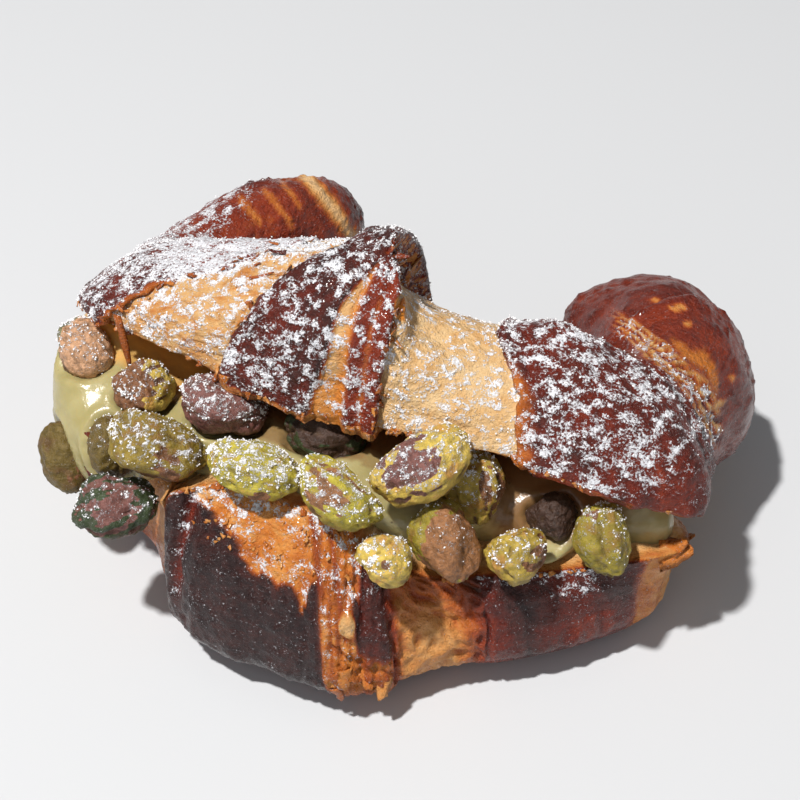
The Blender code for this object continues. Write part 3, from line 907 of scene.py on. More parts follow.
    # The notch: stretched pale dough, wrinkled along the pull.
    pulled = np.stack((row * 9 + way * 22, way * 60 - row * 3, 0 * row), axis=-1)
    wrinkles = 1 - np.abs(lumps(pulled, 2.6, 81)) * 2
    m.add(notch, relief=0.9 * wrinkles + 0.7 * lumps(place, (7, 5, 3.5), 83))
    m.add(notch * window(share, 0, 0.25, 0.6, 1) * step(0.2, 0.08, way), relief=-1.2)
    # Painted shade: the notch is darker along its top, under the kernels and the lobe, and in the
    # hollows of its wrinkles.
    darker = 0.12 * step(0.3, -0.4, wrinkles) + 0.14 * step(0.09, 0.0, way)
    m.add(notch, bake=darker + 0.06 - 0.12 * step(0.1, 0.18, way) + 0.02 * step(0.12, 0.2, way)
          + 0.35 * step(0.12, 0.0, share), amber=0.04)
    toward_right = notch * step(0.45, 0.98, share + 0.1 * wide)
    m.add(toward_right, bake=0.34, amber=0.5 * (1 - toward_right))

    # The turn on the right is darkest beside the notch, dusted in its middle and orange at its end.
    m.add(right, bake=0.16 * bump(row, 10.25, 0.3) - 0.06 * bump(row, 10.95, 0.25)
          + 0.06 * bump(row, 11.4, 0.12) + 0.05 * folds
          - 0.1 * step(0.25, 0.0, share) - 0.1 * step(0.13, 0.2, way))
    ending = right * step(11.56, 11.68, row + 0.06 * wide + 0.04 * fine)
    m.blend(ending, bake=0.36 + 0.2 * wide + 0.1 * fine)
    m.add(ending, amber=0.35)
    dusted = 0.36 * bump(row, 10.95, 0.26) * step(0.16, 0.03, way) + 0.2 * step(0.05, 0.01, way)
    m.add(right, sugar=dusted, relief=0.5 * gills * window(way, 0.03, 0.08, 0.24, 0.3),
          bake=-0.06 * gills)

    # Left of the lobe the dough is light brown and smooth. The underside browned evenly.
    m.add(band == 0, sugar=0.2 * step(0.06, 0.0, way), bake=0.25 * step(0.1, 0.3, way))
    below = step(0.28, 0.36, way)
    m.blend(below, bake=0.62 + 0.1 * wide)
    m.add(below, sugar=-1)
    m.relief *= 1 - window(way, 0.24, 0.3, 0.65, 0.75)
    m.relief += (1 - step(0.2, 0.28, way)) * (0.2 * lumps(place, 1.9, 90))
    return m


def bottom_rim_wear(row):
    """How the front rim of the lower half is torn."""
    along = rolled_out(row, 0 * row, 0)
    return 0.005 + 0.006 * lumps(along, 6, 91) + 0.004 * lumps(along, 1.8, 93)


def bottom_crumb(cut, share, calm):
    """The cut face of the lower half, with an open crumb."""
    holes = 0.6 * blisters(cut, 4.5, 95) + 0.4 * crumple(cut, 3, 2, 97)
    cut[..., 2] -= window(share, 0, 0.1, 0.9, 1) * holes * calm
    return cut


bottom_grid, bottom_values, bottom_ends, bottom_places = half_grid(
    BOTTOM_SECTIONS, lower_skin, BOTTOM_END_SPANS, BOTTOM_SEAMS, BOTTOM_BANDS, BOTTOM_RINGS,
    bottom_marks, bottom_rim_wear, bottom_crumb,
)
bottom_grid = stay_inside(bottom_grid, cad_box, 0.3)
bottom_mesh = mesh_from_grid("lower_crust", bottom_grid, bottom_values, bottom_ends)
print("lower half:", len(bottom_mesh.vertices), "points")

# %% [markdown]
# ## Nodes made short
# A finish is a small network of nodes. Writing each node out takes many lines, so a few helpers
# make the ones that come back again and again: noise of a given size, a stored mark, a bit of
# arithmetic, and a mix of two colours.


# %% Node helpers
class Finish:
    """A material under construction, with helpers that return sockets."""

    def __init__(self, name):
        self.material = bpy.data.materials.new(name)
        self.material.use_nodes = True
        self.tree = self.material.node_tree
        self.shader = self.tree.nodes["Principled BSDF"]
        self.place = self.node("TexCoord").outputs["Object"]

    def link(self, value, socket):
        """Sets a socket to a plain value or joins it to another socket."""
        if isinstance(value, bpy.types.NodeSocket):
            self.tree.links.new(value, socket)
        elif socket.type == "RGBA":
            socket.default_value = (*value[:3], 1)
        else:
            socket.default_value = value

    def fill(self, node, **inputs):
        """Sets inputs of a node by name, with _ for a space."""
        for name, value in inputs.items():
            self.link(value, node.inputs[name.replace("_", " ")])
        return node

    def node(self, kind, **inputs):
        """A new node with these inputs."""
        return self.fill(self.tree.nodes.new("ShaderNode" + kind), **inputs)

    def noise(self, size, detail=4, roughness=0.6):
        """Noise about 0.5 whose lumps are of this size in mm."""
        scale = 1 / (size * MM)
        made = self.node("TexNoise", Vector=self.place, Scale=scale, Detail=detail,
                         Roughness=roughness)
        return made.outputs["Fac"]

    def cells(self, size):
        """Distance to the nearest of many scattered spots this far apart in mm."""
        made = self.node("TexVoronoi", Vector=self.place, Scale=1 / (size * MM))
        return made.outputs["Distance"]

    def mark(self, name):
        """A number that was stored on the mesh."""
        made = self.node("Attribute")
        made.attribute_name = name
        return made.outputs["Fac"]

    def sum(self, operation, *values, clamp=False):
        """One step of arithmetic."""
        made = self.node("Math")
        made.operation = operation
        made.use_clamp = clamp
        for value, socket in zip(values, made.inputs):
            self.link(value, socket)
        return made.outputs[0]

    def span(self, *values):
        """Softly changes a value from one range to another, or to 0 to 1."""
        made = self.node("MapRange")
        made.interpolation_type = "SMOOTHSTEP"
        for value, socket in zip(values, made.inputs):
            self.link(value, socket)
        return made.outputs[0]

    def ramp(self, value, stops):
        """Colours at places from 0 to 1."""
        made = self.node("ValToRGB", Fac=value)
        points = made.color_ramp.elements
        while len(points) < len(stops):
            points.new(0.5)
        for point, (position, colour) in zip(points, stops):
            point.position = position
            point.color = (*colour, 1)
        return made.outputs["Color"]

    def mix(self, share, first, second):
        """A mix of two colours."""
        made = self.node("Mix")
        made.data_type = "RGBA"
        self.fill(made, Factor=share, A=first, B=second)
        return made.outputs["Result"]

    def bump(self, height, depth):
        """Fine relief of this depth in mm, on the shader."""
        made = self.node("Bump", Height=height, Distance=depth * MM)
        self.set(Normal=made.outputs["Normal"])

    def set(self, **values):
        """Sets inputs of the shader by name."""
        self.fill(self.shader, **values)
        return self.material


print("helpers ready")

# %% [markdown]
# ## Crust and icing sugar
# Real crust goes from pale dough through gold and orange to red-brown and a purple near-black. A
# colour ramp holds those steps, and the stored darkness picks the place on it, with a little
# noise so that no two spots match. Icing sugar was sifted over the whole: it is white, quite dull
# and clumps into grains, so it is a mask of fine noise that is cut off higher or lower by the
# stored amount.

# %% Crust finish
CRUST_COLOURS = (
    (0.00, (0.76, 0.53, 0.28)),
    (0.15, (0.68, 0.40, 0.165)),
    (0.30, (0.58, 0.25, 0.070)),
    (0.45, (0.42, 0.110, 0.024)),
    (0.60, (0.25, 0.034, 0.011)),
    (0.75, (0.130, 0.016, 0.008)),
    (0.88, (0.056, 0.014, 0.011)),
    (1.00, (0.022, 0.009, 0.009)),
)
AMBER_COLOUR = (0.72, 0.24, 0.022)
SUGAR_COLOUR = (0.80, 0.81, 0.86)


def sugar_mask(finish, cover, size):
    """Where icing sugar lies: single grains where the cover is thin, all of it where it is full."""
    grain = finish.sum("SUBTRACT", finish.noise(size, 3, 0.75), 0.5)
    over = finish.sum("MULTIPLY_ADD", grain, 3.0, cover)
    return finish.span(over, 0.44, 0.92)


def crust_finish(name, roughness):
    """Baked crust with icing sugar on it."""
    made = Finish(name)
    mottle = made.noise(1.4, 5, 0.65)
    bake = made.sum("MULTIPLY_ADD", mottle, 0.26, made.mark("bake"))
    crumbs = made.sum("SUBTRACT", made.noise(0.6, 3, 0.7), 0.5)
    bake = made.sum("MULTIPLY_ADD", made.sum("MULTIPLY", crumbs, made.mark("amber")), 0.7, bake)
    bake = made.sum("SUBTRACT", bake, 0.13, clamp=True)
    crust = made.ramp(bake, CRUST_COLOURS)
    amber = made.sum("MULTIPLY", made.mark("amber"), 0.75, clamp=True)
    crust = made.mix(amber, crust, AMBER_COLOUR)
    sugar = sugar_mask(made, made.mark("sugar"), 0.5)
    colour = made.mix(sugar, crust, SUGAR_COLOUR)
    shine = made.span(made.noise(2.5, 3, 0.5), 0.3, 0.7, roughness - 0.07, roughness + 0.12)
    pale = made.span(bake, 0.45, 0.25, 0.0, 0.2)
    dull = made.sum("MULTIPLY", sugar, 0.6)
    rough = made.sum("ADD", made.sum("ADD", shine, pale), dull, clamp=True)
    pits = made.sum("MULTIPLY_ADD", made.noise(0.35, 3, 0.6), 0.3, made.noise(1.0, 4, 0.65))
    made.bump(made.sum("MULTIPLY_ADD", sugar, 0.06, pits), 0.9)
    glaze = made.span(made.mark("sugar"), 0.25, 0.05, 0.03, 0.28)
    return made.set(Base_Color=colour, Roughness=rough, Specular_IOR_Level=0.22,
                    Coat_Weight=glaze, Coat_Roughness=0.10)


upper_finish = crust_finish("upper_crust", 0.27)
lower_finish = crust_finish("lower_crust", 0.26)
upper_piece = add_piece(top_mesh, upper_finish, "top_half", slot="top_half")
lower_piece = add_piece(bottom_mesh, lower_finish, "bottom_half", slot="bottom_half")
print("crust pieces:", upper_piece.name, lower_piece.name)

# %% [markdown]
# ## Pistachio kernels
# A shelled pistachio is a slightly bent, tapered oval. Its thin skin is brown to purple and
# wrinkled; where it has rubbed off, the flesh is yellow-green. Each kernel is its own piece. Its
# patch of skin is given as a spot seen from in front, so that the mix of greens and
# browns is the one that this croissant has.

# %% Kernel shapes
# Middle x, y, z in mm, heading and rise of the long axis in degrees, length, width and thickness.
KERNELS = (
    (-56.4, -21.0, 46.4, -14, -57, 15.5, 11, 10),
    (-41.7, -25.3, 46.8, 82, -26, 15, 11.5, 11),
    (-57.0, -32.8, 29.0, -54, -56, 16, 10, 10),
    (-33.4, -36.7, 44.1, 14, -23, 20, 13, 12),
    (-24.9, -24.6, 46.8, 21, -23, 18.5, 12.2, 11.7),
    (-6.5, -20.2, 43.3, 21, -16, 18, 12, 11),
    (-12.6, -37.8, 47.2, 8, -14, 19, 11.5, 11),
    (4.7, -40.1, 49.3, -4, -25, 18, 11.3, 11),
    (16.1, -28.0, 50.2, 47, 18, 21, 12.5, 12),
    (22.9, -19.6, 39.1, -44, -60, 15, 11.5, 11),
    (14.5, -41.9, 38.6, 68, -34, 12, 10.3, 10),
    (22.3, -32.4, 36.5, -23, -49, 16.5, 12.5, 12),
    (34.5, -28.4, 34.6, 67, -26, 13, 11, 10.5),
    (37.0, -15.6, 32.4, 59, -37, 10.5, 9.8, 9.3),
    (47.8, -18.8, 33.8, -52, -51, 15.5, 11, 10.5),
    (-39.1, -44.1, 33.6, 28, 2, 17, 12.5, 12),
    (-44.3, -35.0, 37.9, -35, -64, 13, 9.5, 9),
)
KERNEL_TAPER = 0.14
KERNEL_BEND = 0.05
KERNEL_RIDGE = 0.035
KERNEL_RINGS = 68
KERNEL_AROUND = 64
view_right = np.array(Vector((0, 0, 1)).cross(towards_camera).normalized())
view_up = np.cross(np.array(towards_camera), view_right)
FLESH = {
    "bright": (0.46, 0.38, 0.035),
    "yellow": (0.64, 0.46, 0.085),
    "dull": (0.46, 0.325, 0.050),
    "olive": (0.26, 0.18, 0.020),
    "green": (0.30, 0.235, 0.022),
    "mud": (0.135, 0.088, 0.012),
    "deep": (0.035, 0.055, 0.018),
    "grey": (0.16, 0.15, 0.065),
    # Painted shade: a dark flesh for the kernel that lies in the shadow of the upper half.
    "shaded": (0.05, 0.035, 0.018),
}
SKINS = {
    "pink": (0.56, 0.31, 0.17),
    "brown": (0.21, 0.085, 0.032),
    "rust": (0.30, 0.130, 0.048),
    "purple": (0.19, 0.075, 0.062),
    "dark": (0.055, 0.026, 0.016),
}
FOLD_AND_SHADE_COLOUR = (0.085, 0.042, 0.014)
# For each kernel: flesh colour, skin colour, the skin patch as seen from in front (across, up and
# radius, in half lengths), sugar, depth of the wrinkles in mm, and depth of the crease in mm.
KERNEL_LOOKS = (
    ("grey", "pink", 0.22, 0.15, 0.95, 0.30, 0.16, 0.9),
    ("yellow", "brown", -0.55, 0.1, 0.85, 0.32, 0.22, 0.0),
    ("mud", "brown", 0.7, -0.4, 0.45, 0.05, 0.10, 0.0),
    ("olive", "brown", 0.1, -0.9, 0.55, 0.40, 0.28, 0.5),
    ("olive", "purple", 0.0, 0.0, 3.0, 0.45, 0.18, 0.0),
    ("deep", "dark", 0.1, 0.0, 0.7, 0.06, 0.40, 0.5),
    ("bright", "brown", 0.0, -1.1, 0.5, 0.55, 0.22, 0.0),
    ("bright", "rust", -0.1, 0.0, 0.38, 0.40, 0.28, 1.3),
    ("yellow", "purple", -0.25, 0.0, 0.42, 0.36, 0.16, 0.0),
    ("dull", "brown", 0.6, -0.1, 0.4, 0.40, 0.35, 0.0),
    ("yellow", "brown", 0.0, 0.0, 0.0, 0.35, 0.12, 0.0),
    ("green", "rust", 0.15, -0.12, 0.85, 0.20, 0.14, 0.0),
    ("dull", "brown", 0.85, -0.25, 0.5, 0.32, 0.30, 0.0),
    # The fourteenth kernel is painted in shade: all near-black skin over the shaded flesh, for a
    # kernel in shadow.
    ("shaded", "dark", 0.0, 0.0, 3.0, 0.02, 0.20, 0.0),
    ("green", "brown", -0.6, 0.9, 0.3, 0.30, 0.20, 0.0),
    ("deep", "purple", 0.05, 0.0, 0.62, 0.26, 0.55, 0.9),
    ("mud", "brown", 0.0, 0.0, 0.0, 0.20, 0.20, 0.0),
)


def kernel_grid(number):
    """The grid of one kernel, its marks and its ends."""
    x, y, z, heading, rise, length, width, thickness = KERNELS[number - 1]
    _, _, patch_across, patch_up, patch_size, dust, wrinkled, crease = KERNEL_LOOKS[number - 1]
    latitude = ((np.arange(KERNEL_RINGS) + 1) / (KERNEL_RINGS + 1) * np.pi)[:, None]
    turn = (np.arange(KERNEL_AROUND) / KERNEL_AROUND * 2 * np.pi)[None, :]
    along = np.cos(latitude) + 0 * turn
    across = np.sin(latitude) * (1 - KERNEL_TAPER * along)
    across = across * (1 + KERNEL_RIDGE * np.cos(3 * turn + number))
    grid = np.stack((
        0.5 * length * along,
        0.5 * width * across * np.cos(turn) + KERNEL_BEND * length * (along**2 - 0.4),
        0.5 * thickness * across * np.sin(turn),
    ), axis=-1)
    outwards = facing(grid, 0)
    own = grid + 50 * number
    long_lines = lumps(own, (9, 1.8, 1.8), 101) + 0.6 * lumps(own, (4.5, 1.0, 1.0), 103)
    creased = np.maximum(-long_lines - 0.05, 0)
    relief = -2.8 * wrinkled * creased + 1.2 * (lumps(own, (8, 5, 5), 105) - 0.4)
    ridges = 1 - 3 * np.abs(lumps(own, (2.2, 1.1, 1.1), 106))
    relief += 0.24 * crumple(own, 1.7, 2, 104) + 0.10 * ridges
    fold = crease * bump(turn, 4.4, 0.12) * step(0.9, 0.6, np.abs(along))
    tip = bump(along, 1, 0.12)
    relief = relief - fold - 0.5 * tip * (1 + lumps(own, 1.2, 107))
    grid = grid + outwards * relief[..., None]

    cos_r, sin_r = math.cos(math.radians(-rise)), math.sin(math.radians(-rise))
    cos_h, sin_h = math.cos(math.radians(heading)), math.sin(math.radians(heading))
    tilt = np.array(((cos_r, 0, sin_r), (0, 1, 0), (-sin_r, 0, cos_r)))
    swing = np.array(((cos_h, -sin_h, 0), (sin_h, cos_h, 0), (0, 0, 1)))
    turned = (swing @ tilt).T
    grid, normal = grid @ turned, outwards @ turned
    seen_across = grid @ view_right / (0.5 * length)
    seen_up = grid @ view_up / (0.5 * length)
    spread_out = np.hypot(seen_across - patch_across, seen_up - patch_up)
    edge = spread_out + 0.22 * crumple(own, 3.5, 3, 109) + 1.8 * wrinkled * long_lines
    skin = step(patch_size + 0.07, patch_size - 0.07, edge)
    dark = step(0.1, 0.6, creased) * 0.55 + step(0.2, 0.9, fold) + 0.2 * tip
    # Painted shade: the undersides, which face down, are darkened too.
    dark += 0.6 * step(-0.1, -0.8, normal[..., 2])
    sugar = powder(1.05 * dust * step(-0.5, 0.7, normal[..., 2]), own, 1.1, 111)
    sugar = sugar * (1 - 0.7 * np.clip(dark, 0, 1))
    ends = [grid[0].mean(axis=0), grid[-1].mean(axis=0)]
    middle = np.array((x, y, z))
    # The folds mark holds the dark wrinkles, crease and tips, and the painted shade on the
    # undersides.
    marks = {"skin": skin, "folds": np.clip(dark, 0, 1), "sugar": np.maximum(sugar, 0)}
    return grid + middle, marks, [end + middle for end in ends]


def shade(colour, strength, lift=0):
    """A darker or a paler shade of a colour."""
    return tuple(min(1, strength * v + lift) for v in colour)


def kernel_finish(name, flesh, skin):
    """Pistachio: flesh, skin in patches, dark folds, painted shade on the undersides, and sugar."""
    made = Finish(name)
    mottle = made.noise(1.6, 4, 0.6)
    brownish = (0.75 * flesh[0] + 0.02, 0.42 * flesh[1] + 0.02, 0.5 * flesh[2] + 0.01)
    body = made.ramp(
        mottle, ((0.3, shade(flesh, 0.6)), (0.5, flesh), (0.7, shade(flesh, 1.35, 0.03))))
    body = made.mix(made.span(made.noise(3.2, 4, 0.6), 0.50, 0.68, 0.0, 0.75), body, brownish)
    veins = made.noise(0.9, 5, 0.65)
    cover = made.ramp(
        veins, ((0.3, shade(skin, 0.5)), (0.5, skin), (0.72, shade(skin, 1.4, 0.02))))
    patchy = made.sum("MULTIPLY_ADD", made.noise(1.0, 4, 0.6), 0.5, made.mark("skin"))
    colour = made.mix(made.span(patchy, 0.55, 0.75), body, cover)
    # The folds mark darkens the wrinkles and paints shade on the undersides.
    folds = made.sum("MULTIPLY_ADD", made.noise(0.8, 3, 0.6), 0.5, made.mark("folds"))
    colour = made.mix(made.span(folds, 0.35, 1.2, 0.0, 0.9), colour, FOLD_AND_SHADE_COLOUR)
    sugar = sugar_mask(made, made.mark("sugar"), 0.32)
    colour = made.mix(made.sum("MULTIPLY", sugar, 0.92), colour, SUGAR_COLOUR)
    rough = made.sum("MULTIPLY_ADD", sugar, 0.4, 0.38)
    made.bump(made.sum("MULTIPLY_ADD", sugar, 0.2, veins), 0.6)
    return made.set(Base_Color=colour, Roughness=rough, Specular_IOR_Level=0.45)


kernel_finishes = {}
kernel_points = []
kernel_sugar = []
for number, look in enumerate(KERNEL_LOOKS, 1):
    flesh, skin = look[:2]
    if (flesh, skin) not in kernel_finishes:
        kernel_finishes[flesh, skin] = kernel_finish(
            f"kernel_{flesh}_{skin}", FLESH[flesh], SKINS[skin])
    grid, marks, ends = kernel_grid(number)
    mesh = mesh_from_grid(f"kernel_{number:02d}", stay_inside(grid, cad_box, 0.4), marks, ends)
    add_piece(mesh, kernel_finishes[flesh, skin], f"pistachio_{number:02d}", slot="pistachio")
    kernel_points.append(grid.reshape(-1, 3))
    kernel_sugar.append((grid, marks["sugar"]))
print("kernels:", len(KERNEL_LOOKS), "finishes:", len(kernel_finishes))

# %% [markdown]
# ## The cream
# The cream was piped into the cut, so it is smooth and fat, and it bulges out at the left. Where
# a kernel was pressed in, the cream rises round it in a soft rim. The shape is a tube of sections
# again; each point then looks for the nearest kernel and swells a little if it is close.

# %% Cream
# Front x, y, z, back x, y, z, and half the height in front.
CREAM_SECTIONS = np.array((
    (-60, 12, 29, -46, 14, 26, 7),
    (-65, -6, 35, -42, 10, 27, 15),
    (-64, -23, 35, -34, 10, 28, 20),
    (-50, -37, 34, -26, 12, 28, 13),
    (-33, -34, 39, -16, 14, 28, 7),
    (-14, -33, 38, -6, 14, 28, 6),
    (4, -33, 38, 2, 14, 28, 6),
    (16, -27, 31, 10, 12, 27, 9),
    (30, -17, 28, 17, 11, 27, 9),
    (43, -12.5, 27, 23, 12, 26, 10),
    (57, -8.5, 28, 32, 14, 26, 8.5),
    (56, 4, 28, 42, 14, 24, 5),
), float)
CREAM_RINGS = 260
CREAM_AROUND = 150
CREAM_BACK_HEIGHT = 9
CREAM_FULLNESS = 0.8
KERNEL_REACH = 5.0
TONGUE_ROOT, TONGUE_WIDTH, TONGUE_LENGTH = (38, -15, 28), 5, 8.5
# A spot in the camera's view where the cream gets no painted shade.
LIT_TONGUE = (560, 556), (24, 15)
COVER_DIRECTIONS = (
    (0, 0, 1), (0.5, 0, 1), (-0.5, 0, 1), (0, -0.6, 1), (-0.5, -0.6, 1), (0.5, -0.6, 1),
    (0, -1.6, 1),
)
COVER_REACH = 0.05


def fullness(value):
    """Makes a circle squarer, so that the tube of cream is fat."""
    return np.sign(value) * np.abs(value) ** CREAM_FULLNESS


def covered_share(grid, outwards):
    """How much of the sky above each point the upper half hides, from 0 to 1."""
    crust = BVHTree.FromObject(upper_piece, bpy.context.evaluated_depsgraph_get())
    directions = [Vector(d).normalized() for d in COVER_DIRECTIONS]
    hits = [
        sum(crust.ray_cast(Vector(start), towards, COVER_REACH)[0] is not None
            for towards in directions)
        for start in ((grid + 0.5 * outwards) * MM).reshape(-1, 3)
    ]
    return np.array(hits, float).reshape(grid.shape[:2]) / len(directions)


def kernel_distance(grid):
    """Distance in mm from each point to the nearest kernel, below 0 inside it."""
    quads = np.roll(grid_faces(KERNEL_RINGS, KERNEL_AROUND)[:, ::-1], 1, axis=1)
    faces = [quads + k * KERNEL_RINGS * KERNEL_AROUND for k in range(len(kernel_points))]
    tree = BVHTree.FromPolygons(
        np.concatenate(kernel_points).tolist(), np.concatenate(faces).tolist())
    away = np.full(grid[..., 0].size, 99.0)
    for k, point in enumerate(grid.reshape(-1, 3)):
        nearest, normal, _, distance = tree.find_nearest(Vector(point), KERNEL_REACH)
        if nearest is not None:
            away[k] = math.copysign(distance, (Vector(point) - nearest).dot(normal))
    return away.reshape(grid.shape[:2])


def cream_grid():
    """The grid of the cream, its marks and its ends."""
    last = len(CREAM_SECTIONS) - 1
    row = (spread(CREAM_RINGS, 0.35) * last)[:, None] + np.zeros(CREAM_AROUND)[None, :]
    section = between(CREAM_SECTIONS, row)
    front, back, height = section[..., 0:3], section[..., 3:6], section[..., 6]
    turn = (np.arange(CREAM_AROUND) / CREAM_AROUND * 2 * np.pi)[None, :]
    forward = np.cos(turn)
    height = height + (CREAM_BACK_HEIGHT - height) * (1 - forward) / 2
    middle = 0.5 * (front + back)
    grid = middle + (front - middle) * fullness(forward)[..., None]
    grid[..., 2] += height * fullness(np.sin(turn))
    grid = middle + (grid - middle) * end_rounding(row, last, (1, 1))[..., None]
    outwards = facing(grid, middle)
    swell = 0.5 * lumps(grid, 11, 121) + 0.22 * lumps(grid, (5, 5, 8), 123)
    stripes = lumps(grid, (1.6, 1.6, 14), 125) * step(46, 54, grid[..., 0])
    grid = grid + outwards * (swell + 0.3 * stripes)[..., None]
    away = kernel_distance(grid)
    rise = 0.5 * bump(away, 2.0, 0.9)
    for low, high, depth in ((1.4, -0.2, 1.6), (0, -1.5, 1.0), (-1.2, -3.5, 2.5)):
        rise = rise - depth * step(low, high, away)
    grid = grid + outwards * rise[..., None]

    # A tongue of cream comes forward under the darkest kernel.
    tongue = bump(np.linalg.norm(grid - TONGUE_ROOT, axis=-1), 0, TONGUE_WIDTH)
    grid[..., 1] -= TONGUE_LENGTH * tongue

    # Painted shade: the cream turns brown where the upper half hides the sky above it, more so in
    # the middle, but not on the tongue nor at the right end. At the left end the shade is painted
    # as an orange glow instead, as if light shone through the thin crust.
    along = grid[..., 0]
    covered = covered_share(grid, outwards)
    covered = covered * (1 + 0.6 * step(-26, -16, along) + 0.4 * step(2, 12, along))
    covered = np.minimum(covered, 1) * (1 - spot(*seen_from_front(grid), *LIT_TONGUE))
    covered *= 1 - 0.85 * step(45, 52, along)
    marks = {"covered": covered, "glow": covered * step(-26, -36, along)}
    return grid, marks, [middle[0, 0], middle[-1, 0]]


cream_points, cream_values, cream_ends = cream_grid()
cream_mesh = mesh_from_grid("pistachio_cream", stay_inside(cream_points, cad_box, 0.4),
                            cream_values, cream_ends)

cream_look = Finish("pistachio_cream")
cream_tone = cream_look.ramp(cream_look.noise(7, 3, 0.5), (
    (0.3, (0.33, 0.28, 0.115)), (0.5, (0.38, 0.325, 0.145)), (0.7, (0.43, 0.375, 0.185))))
# Painted shade, then painted glow, from the marks made with the cream's grid.
cream_tone = cream_look.mix(cream_look.mark("covered"), cream_tone, (0.20, 0.090, 0.034))
cream_tone = cream_look.mix(cream_look.mark("glow"), cream_tone, (0.95, 0.50, 0.12))
specks = cream_look.sum("MULTIPLY", cream_look.span(cream_look.cells(3.4), 0.10, 0.05), 0.7)
cream_tone = cream_look.mix(specks, cream_tone, (0.10, 0.06, 0.02))
cream_look.bump(cream_look.noise(2.4, 4, 0.55), 0.25)
cream_look.set(Base_Color=cream_tone, Roughness=0.26, Subsurface_Weight=0.2,
               Subsurface_Scale=0.002, Specular_IOR_Level=0.45)
cream_look.shader.inputs["Subsurface Radius"].default_value = (1.0, 0.5, 0.2)
add_piece(cream_mesh, cream_look.material, "cream", slot="cream")
print("cream:", len(cream_mesh.vertices), "points")

# %% [markdown]
# ## Torn flakes
# The crust breaks into thin flakes along its seams and cut rims. Each flake is a thin bent leaf:
# it is fixed at one end and lifts off the crust towards the other. The largest ones are placed
# one by one: the ragged point at the top, a tab that curls up at the right end, a strand across
# the mouth on the left. Small ones are strewn along the seams and rims by a seeded draw.

# %% Flakes
LEAF_OUTLINE = ((-1, 0), (-0.5, 1), (0.5, 1), (1, 0), (0.5, -1), (-0.5, -1))
LEAF_RINGS = 7
UPPER, LOWER = 0, 1
# Half, row, way, heading (0 along the roll, 90 round it), length and width in mm, lift, curl, bake
# and amber.
LARGE_FLAKES = (
    (UPPER, 8.70, 0.58, 30, 3.0, 2.4, 0.5, 0.5, 0.34, 0.5),
    (UPPER, 8.80, 0.70, 60, 3.0, 2.4, 0.4, 0.4, 0.60, 0.0),
    (UPPER, 8.45, 0.78, 0, 5.0, 5.0, 0.5, 0.3, 0.22, 0.4),
    (UPPER, 8.60, 0.74, 20, 3.6, 3.0, 0.5, 0.3, 0.80, 0.0),
    (UPPER, 8.60, 0.82, 10, 5.0, 4.0, 0.6, 0.4, 0.30, 0.5),
    (UPPER, 8.75, 0.62, -20, 4.0, 3.0, 0.5, -0.3, 0.55, 0.3),
    (UPPER, 8.85, 0.52, -30, 3.5, 2.6, 0.5, 0.6, 0.66, 0.1),
    (UPPER, 8.30, 0.60, 15, 4.0, 3.0, 0.6, 0.4, 0.70, 0.0),
    (UPPER, 6.62, 0.44, 200, 2.6, 1.3, 0.6, 0.8, 0.80, 0.0),
    (UPPER, 6.70, 0.33, 60, 3.6, 0.7, 0.3, 0.4, 0.55, 0.2),
    (UPPER, 7.10, 0.02, -70, 2.8, 2.0, 0.1, -0.4, 0.40, 0.5),
    (UPPER, 12.0, 0.015, -60, 2.4, 1.6, 0.1, -0.3, 0.45, 0.5),
    (LOWER, 7.80, 0.235, 80, 4.5, 2.4, 0.3, 0.5, 0.28, 0.3),
    (LOWER, 7.45, 0.20, 60, 4.0, 3.0, 0.8, 0.8, 0.42, 0.4),
    (LOWER, 7.20, 0.19, 95, 4.5, 3.0, 0.9, 0.6, 0.36, 0.4),
    (LOWER, 7.0, 0.23, 70, 4.0, 2.4, 0.8, 0.8, 0.5, 0.3),
    (LOWER, 4.03, 0.03, 205, 7.5, 6.0, 1.2, 0.5, 0.24, 0.1),
    (LOWER, 4.06, 0.11, 190, 5.5, 6.0, 1.0, 0.5, 0.34, 0.2),
    (LOWER, 4.05, 0.18, 180, 4.0, 5.0, 0.6, 0.5, 0.40, 0.3),
)
# Start in mm, direction, upper side, length, width, lift, curl and thickness in mm, then bake,
# sugar and amber: a torn strand at the left corner of the mouth, a bit of crust between two
# kernels, and a point under the notch.
LOOSE_LEAVES = (
    ((-47.3, -22.6, 59), (0.12, 0.04, -1), (-0.2, -1, 0), 13, 2.4, 0.2, 0.6, 0.6, (0.56, 0.1, 0.3)),
    ((-49.5, -34.5, 39), (0.1, -0.3, -1), (0, -1, 0.3), 9, 3.2, 0.3, 0.8, 0.7, (0.74, 0.15, 0.0)),
    ((15.6, -47, 11.5), (0.1, -0.5, -1), (0, -1, 0.4), 4.5, 3.4, 0.3, 0.8, 0.7, (0.28, 0.0, 0.2)),
)
# The flap at the right end: turn about its root in degrees, length and width in mm.
FLAP_ROOT, FLAP_AHEAD, FLAP_UP = (57.5, -10.5, 26), (0.93, 0.37, -0.05), (0, -0.5, 0.87)
FLAP_LEAVES = ((0, 6.5, 6.5), (-30, 5.5, 4.0), (20, 5.0, 4.5))
flake_points, flake_faces = [], []
flake_marks = {"bake": [], "sugar": [], "amber": []}


def on_crust(half, row, way):
    """A crust point at this row and way, and its directions: along, round and outwards."""
    grid, (rows, ways) = ((top_grid, top_places), (bottom_grid, bottom_places))[half]
    nearest = np.argmin((rows - row) ** 2 + 60 * (ways - way) ** 2)
    i, j = np.unravel_index(nearest, rows.shape)
    i, j = np.clip(i, 2, rows.shape[0] - 3), np.clip(j, 2, rows.shape[1] - 3)
    along = Vector(grid[i + 2, j] - grid[i - 2, j]).normalized()
    over = Vector(grid[i, j + 2] - grid[i, j - 2]).normalized()
    outwards = along.cross(over).normalized()
    if outwards.dot(Vector(grid[i, j]) - Vector(grid[i].mean(axis=0))) < 0:
        outwards = -outwards
    return Vector(grid[i, j]), along, over, outwards


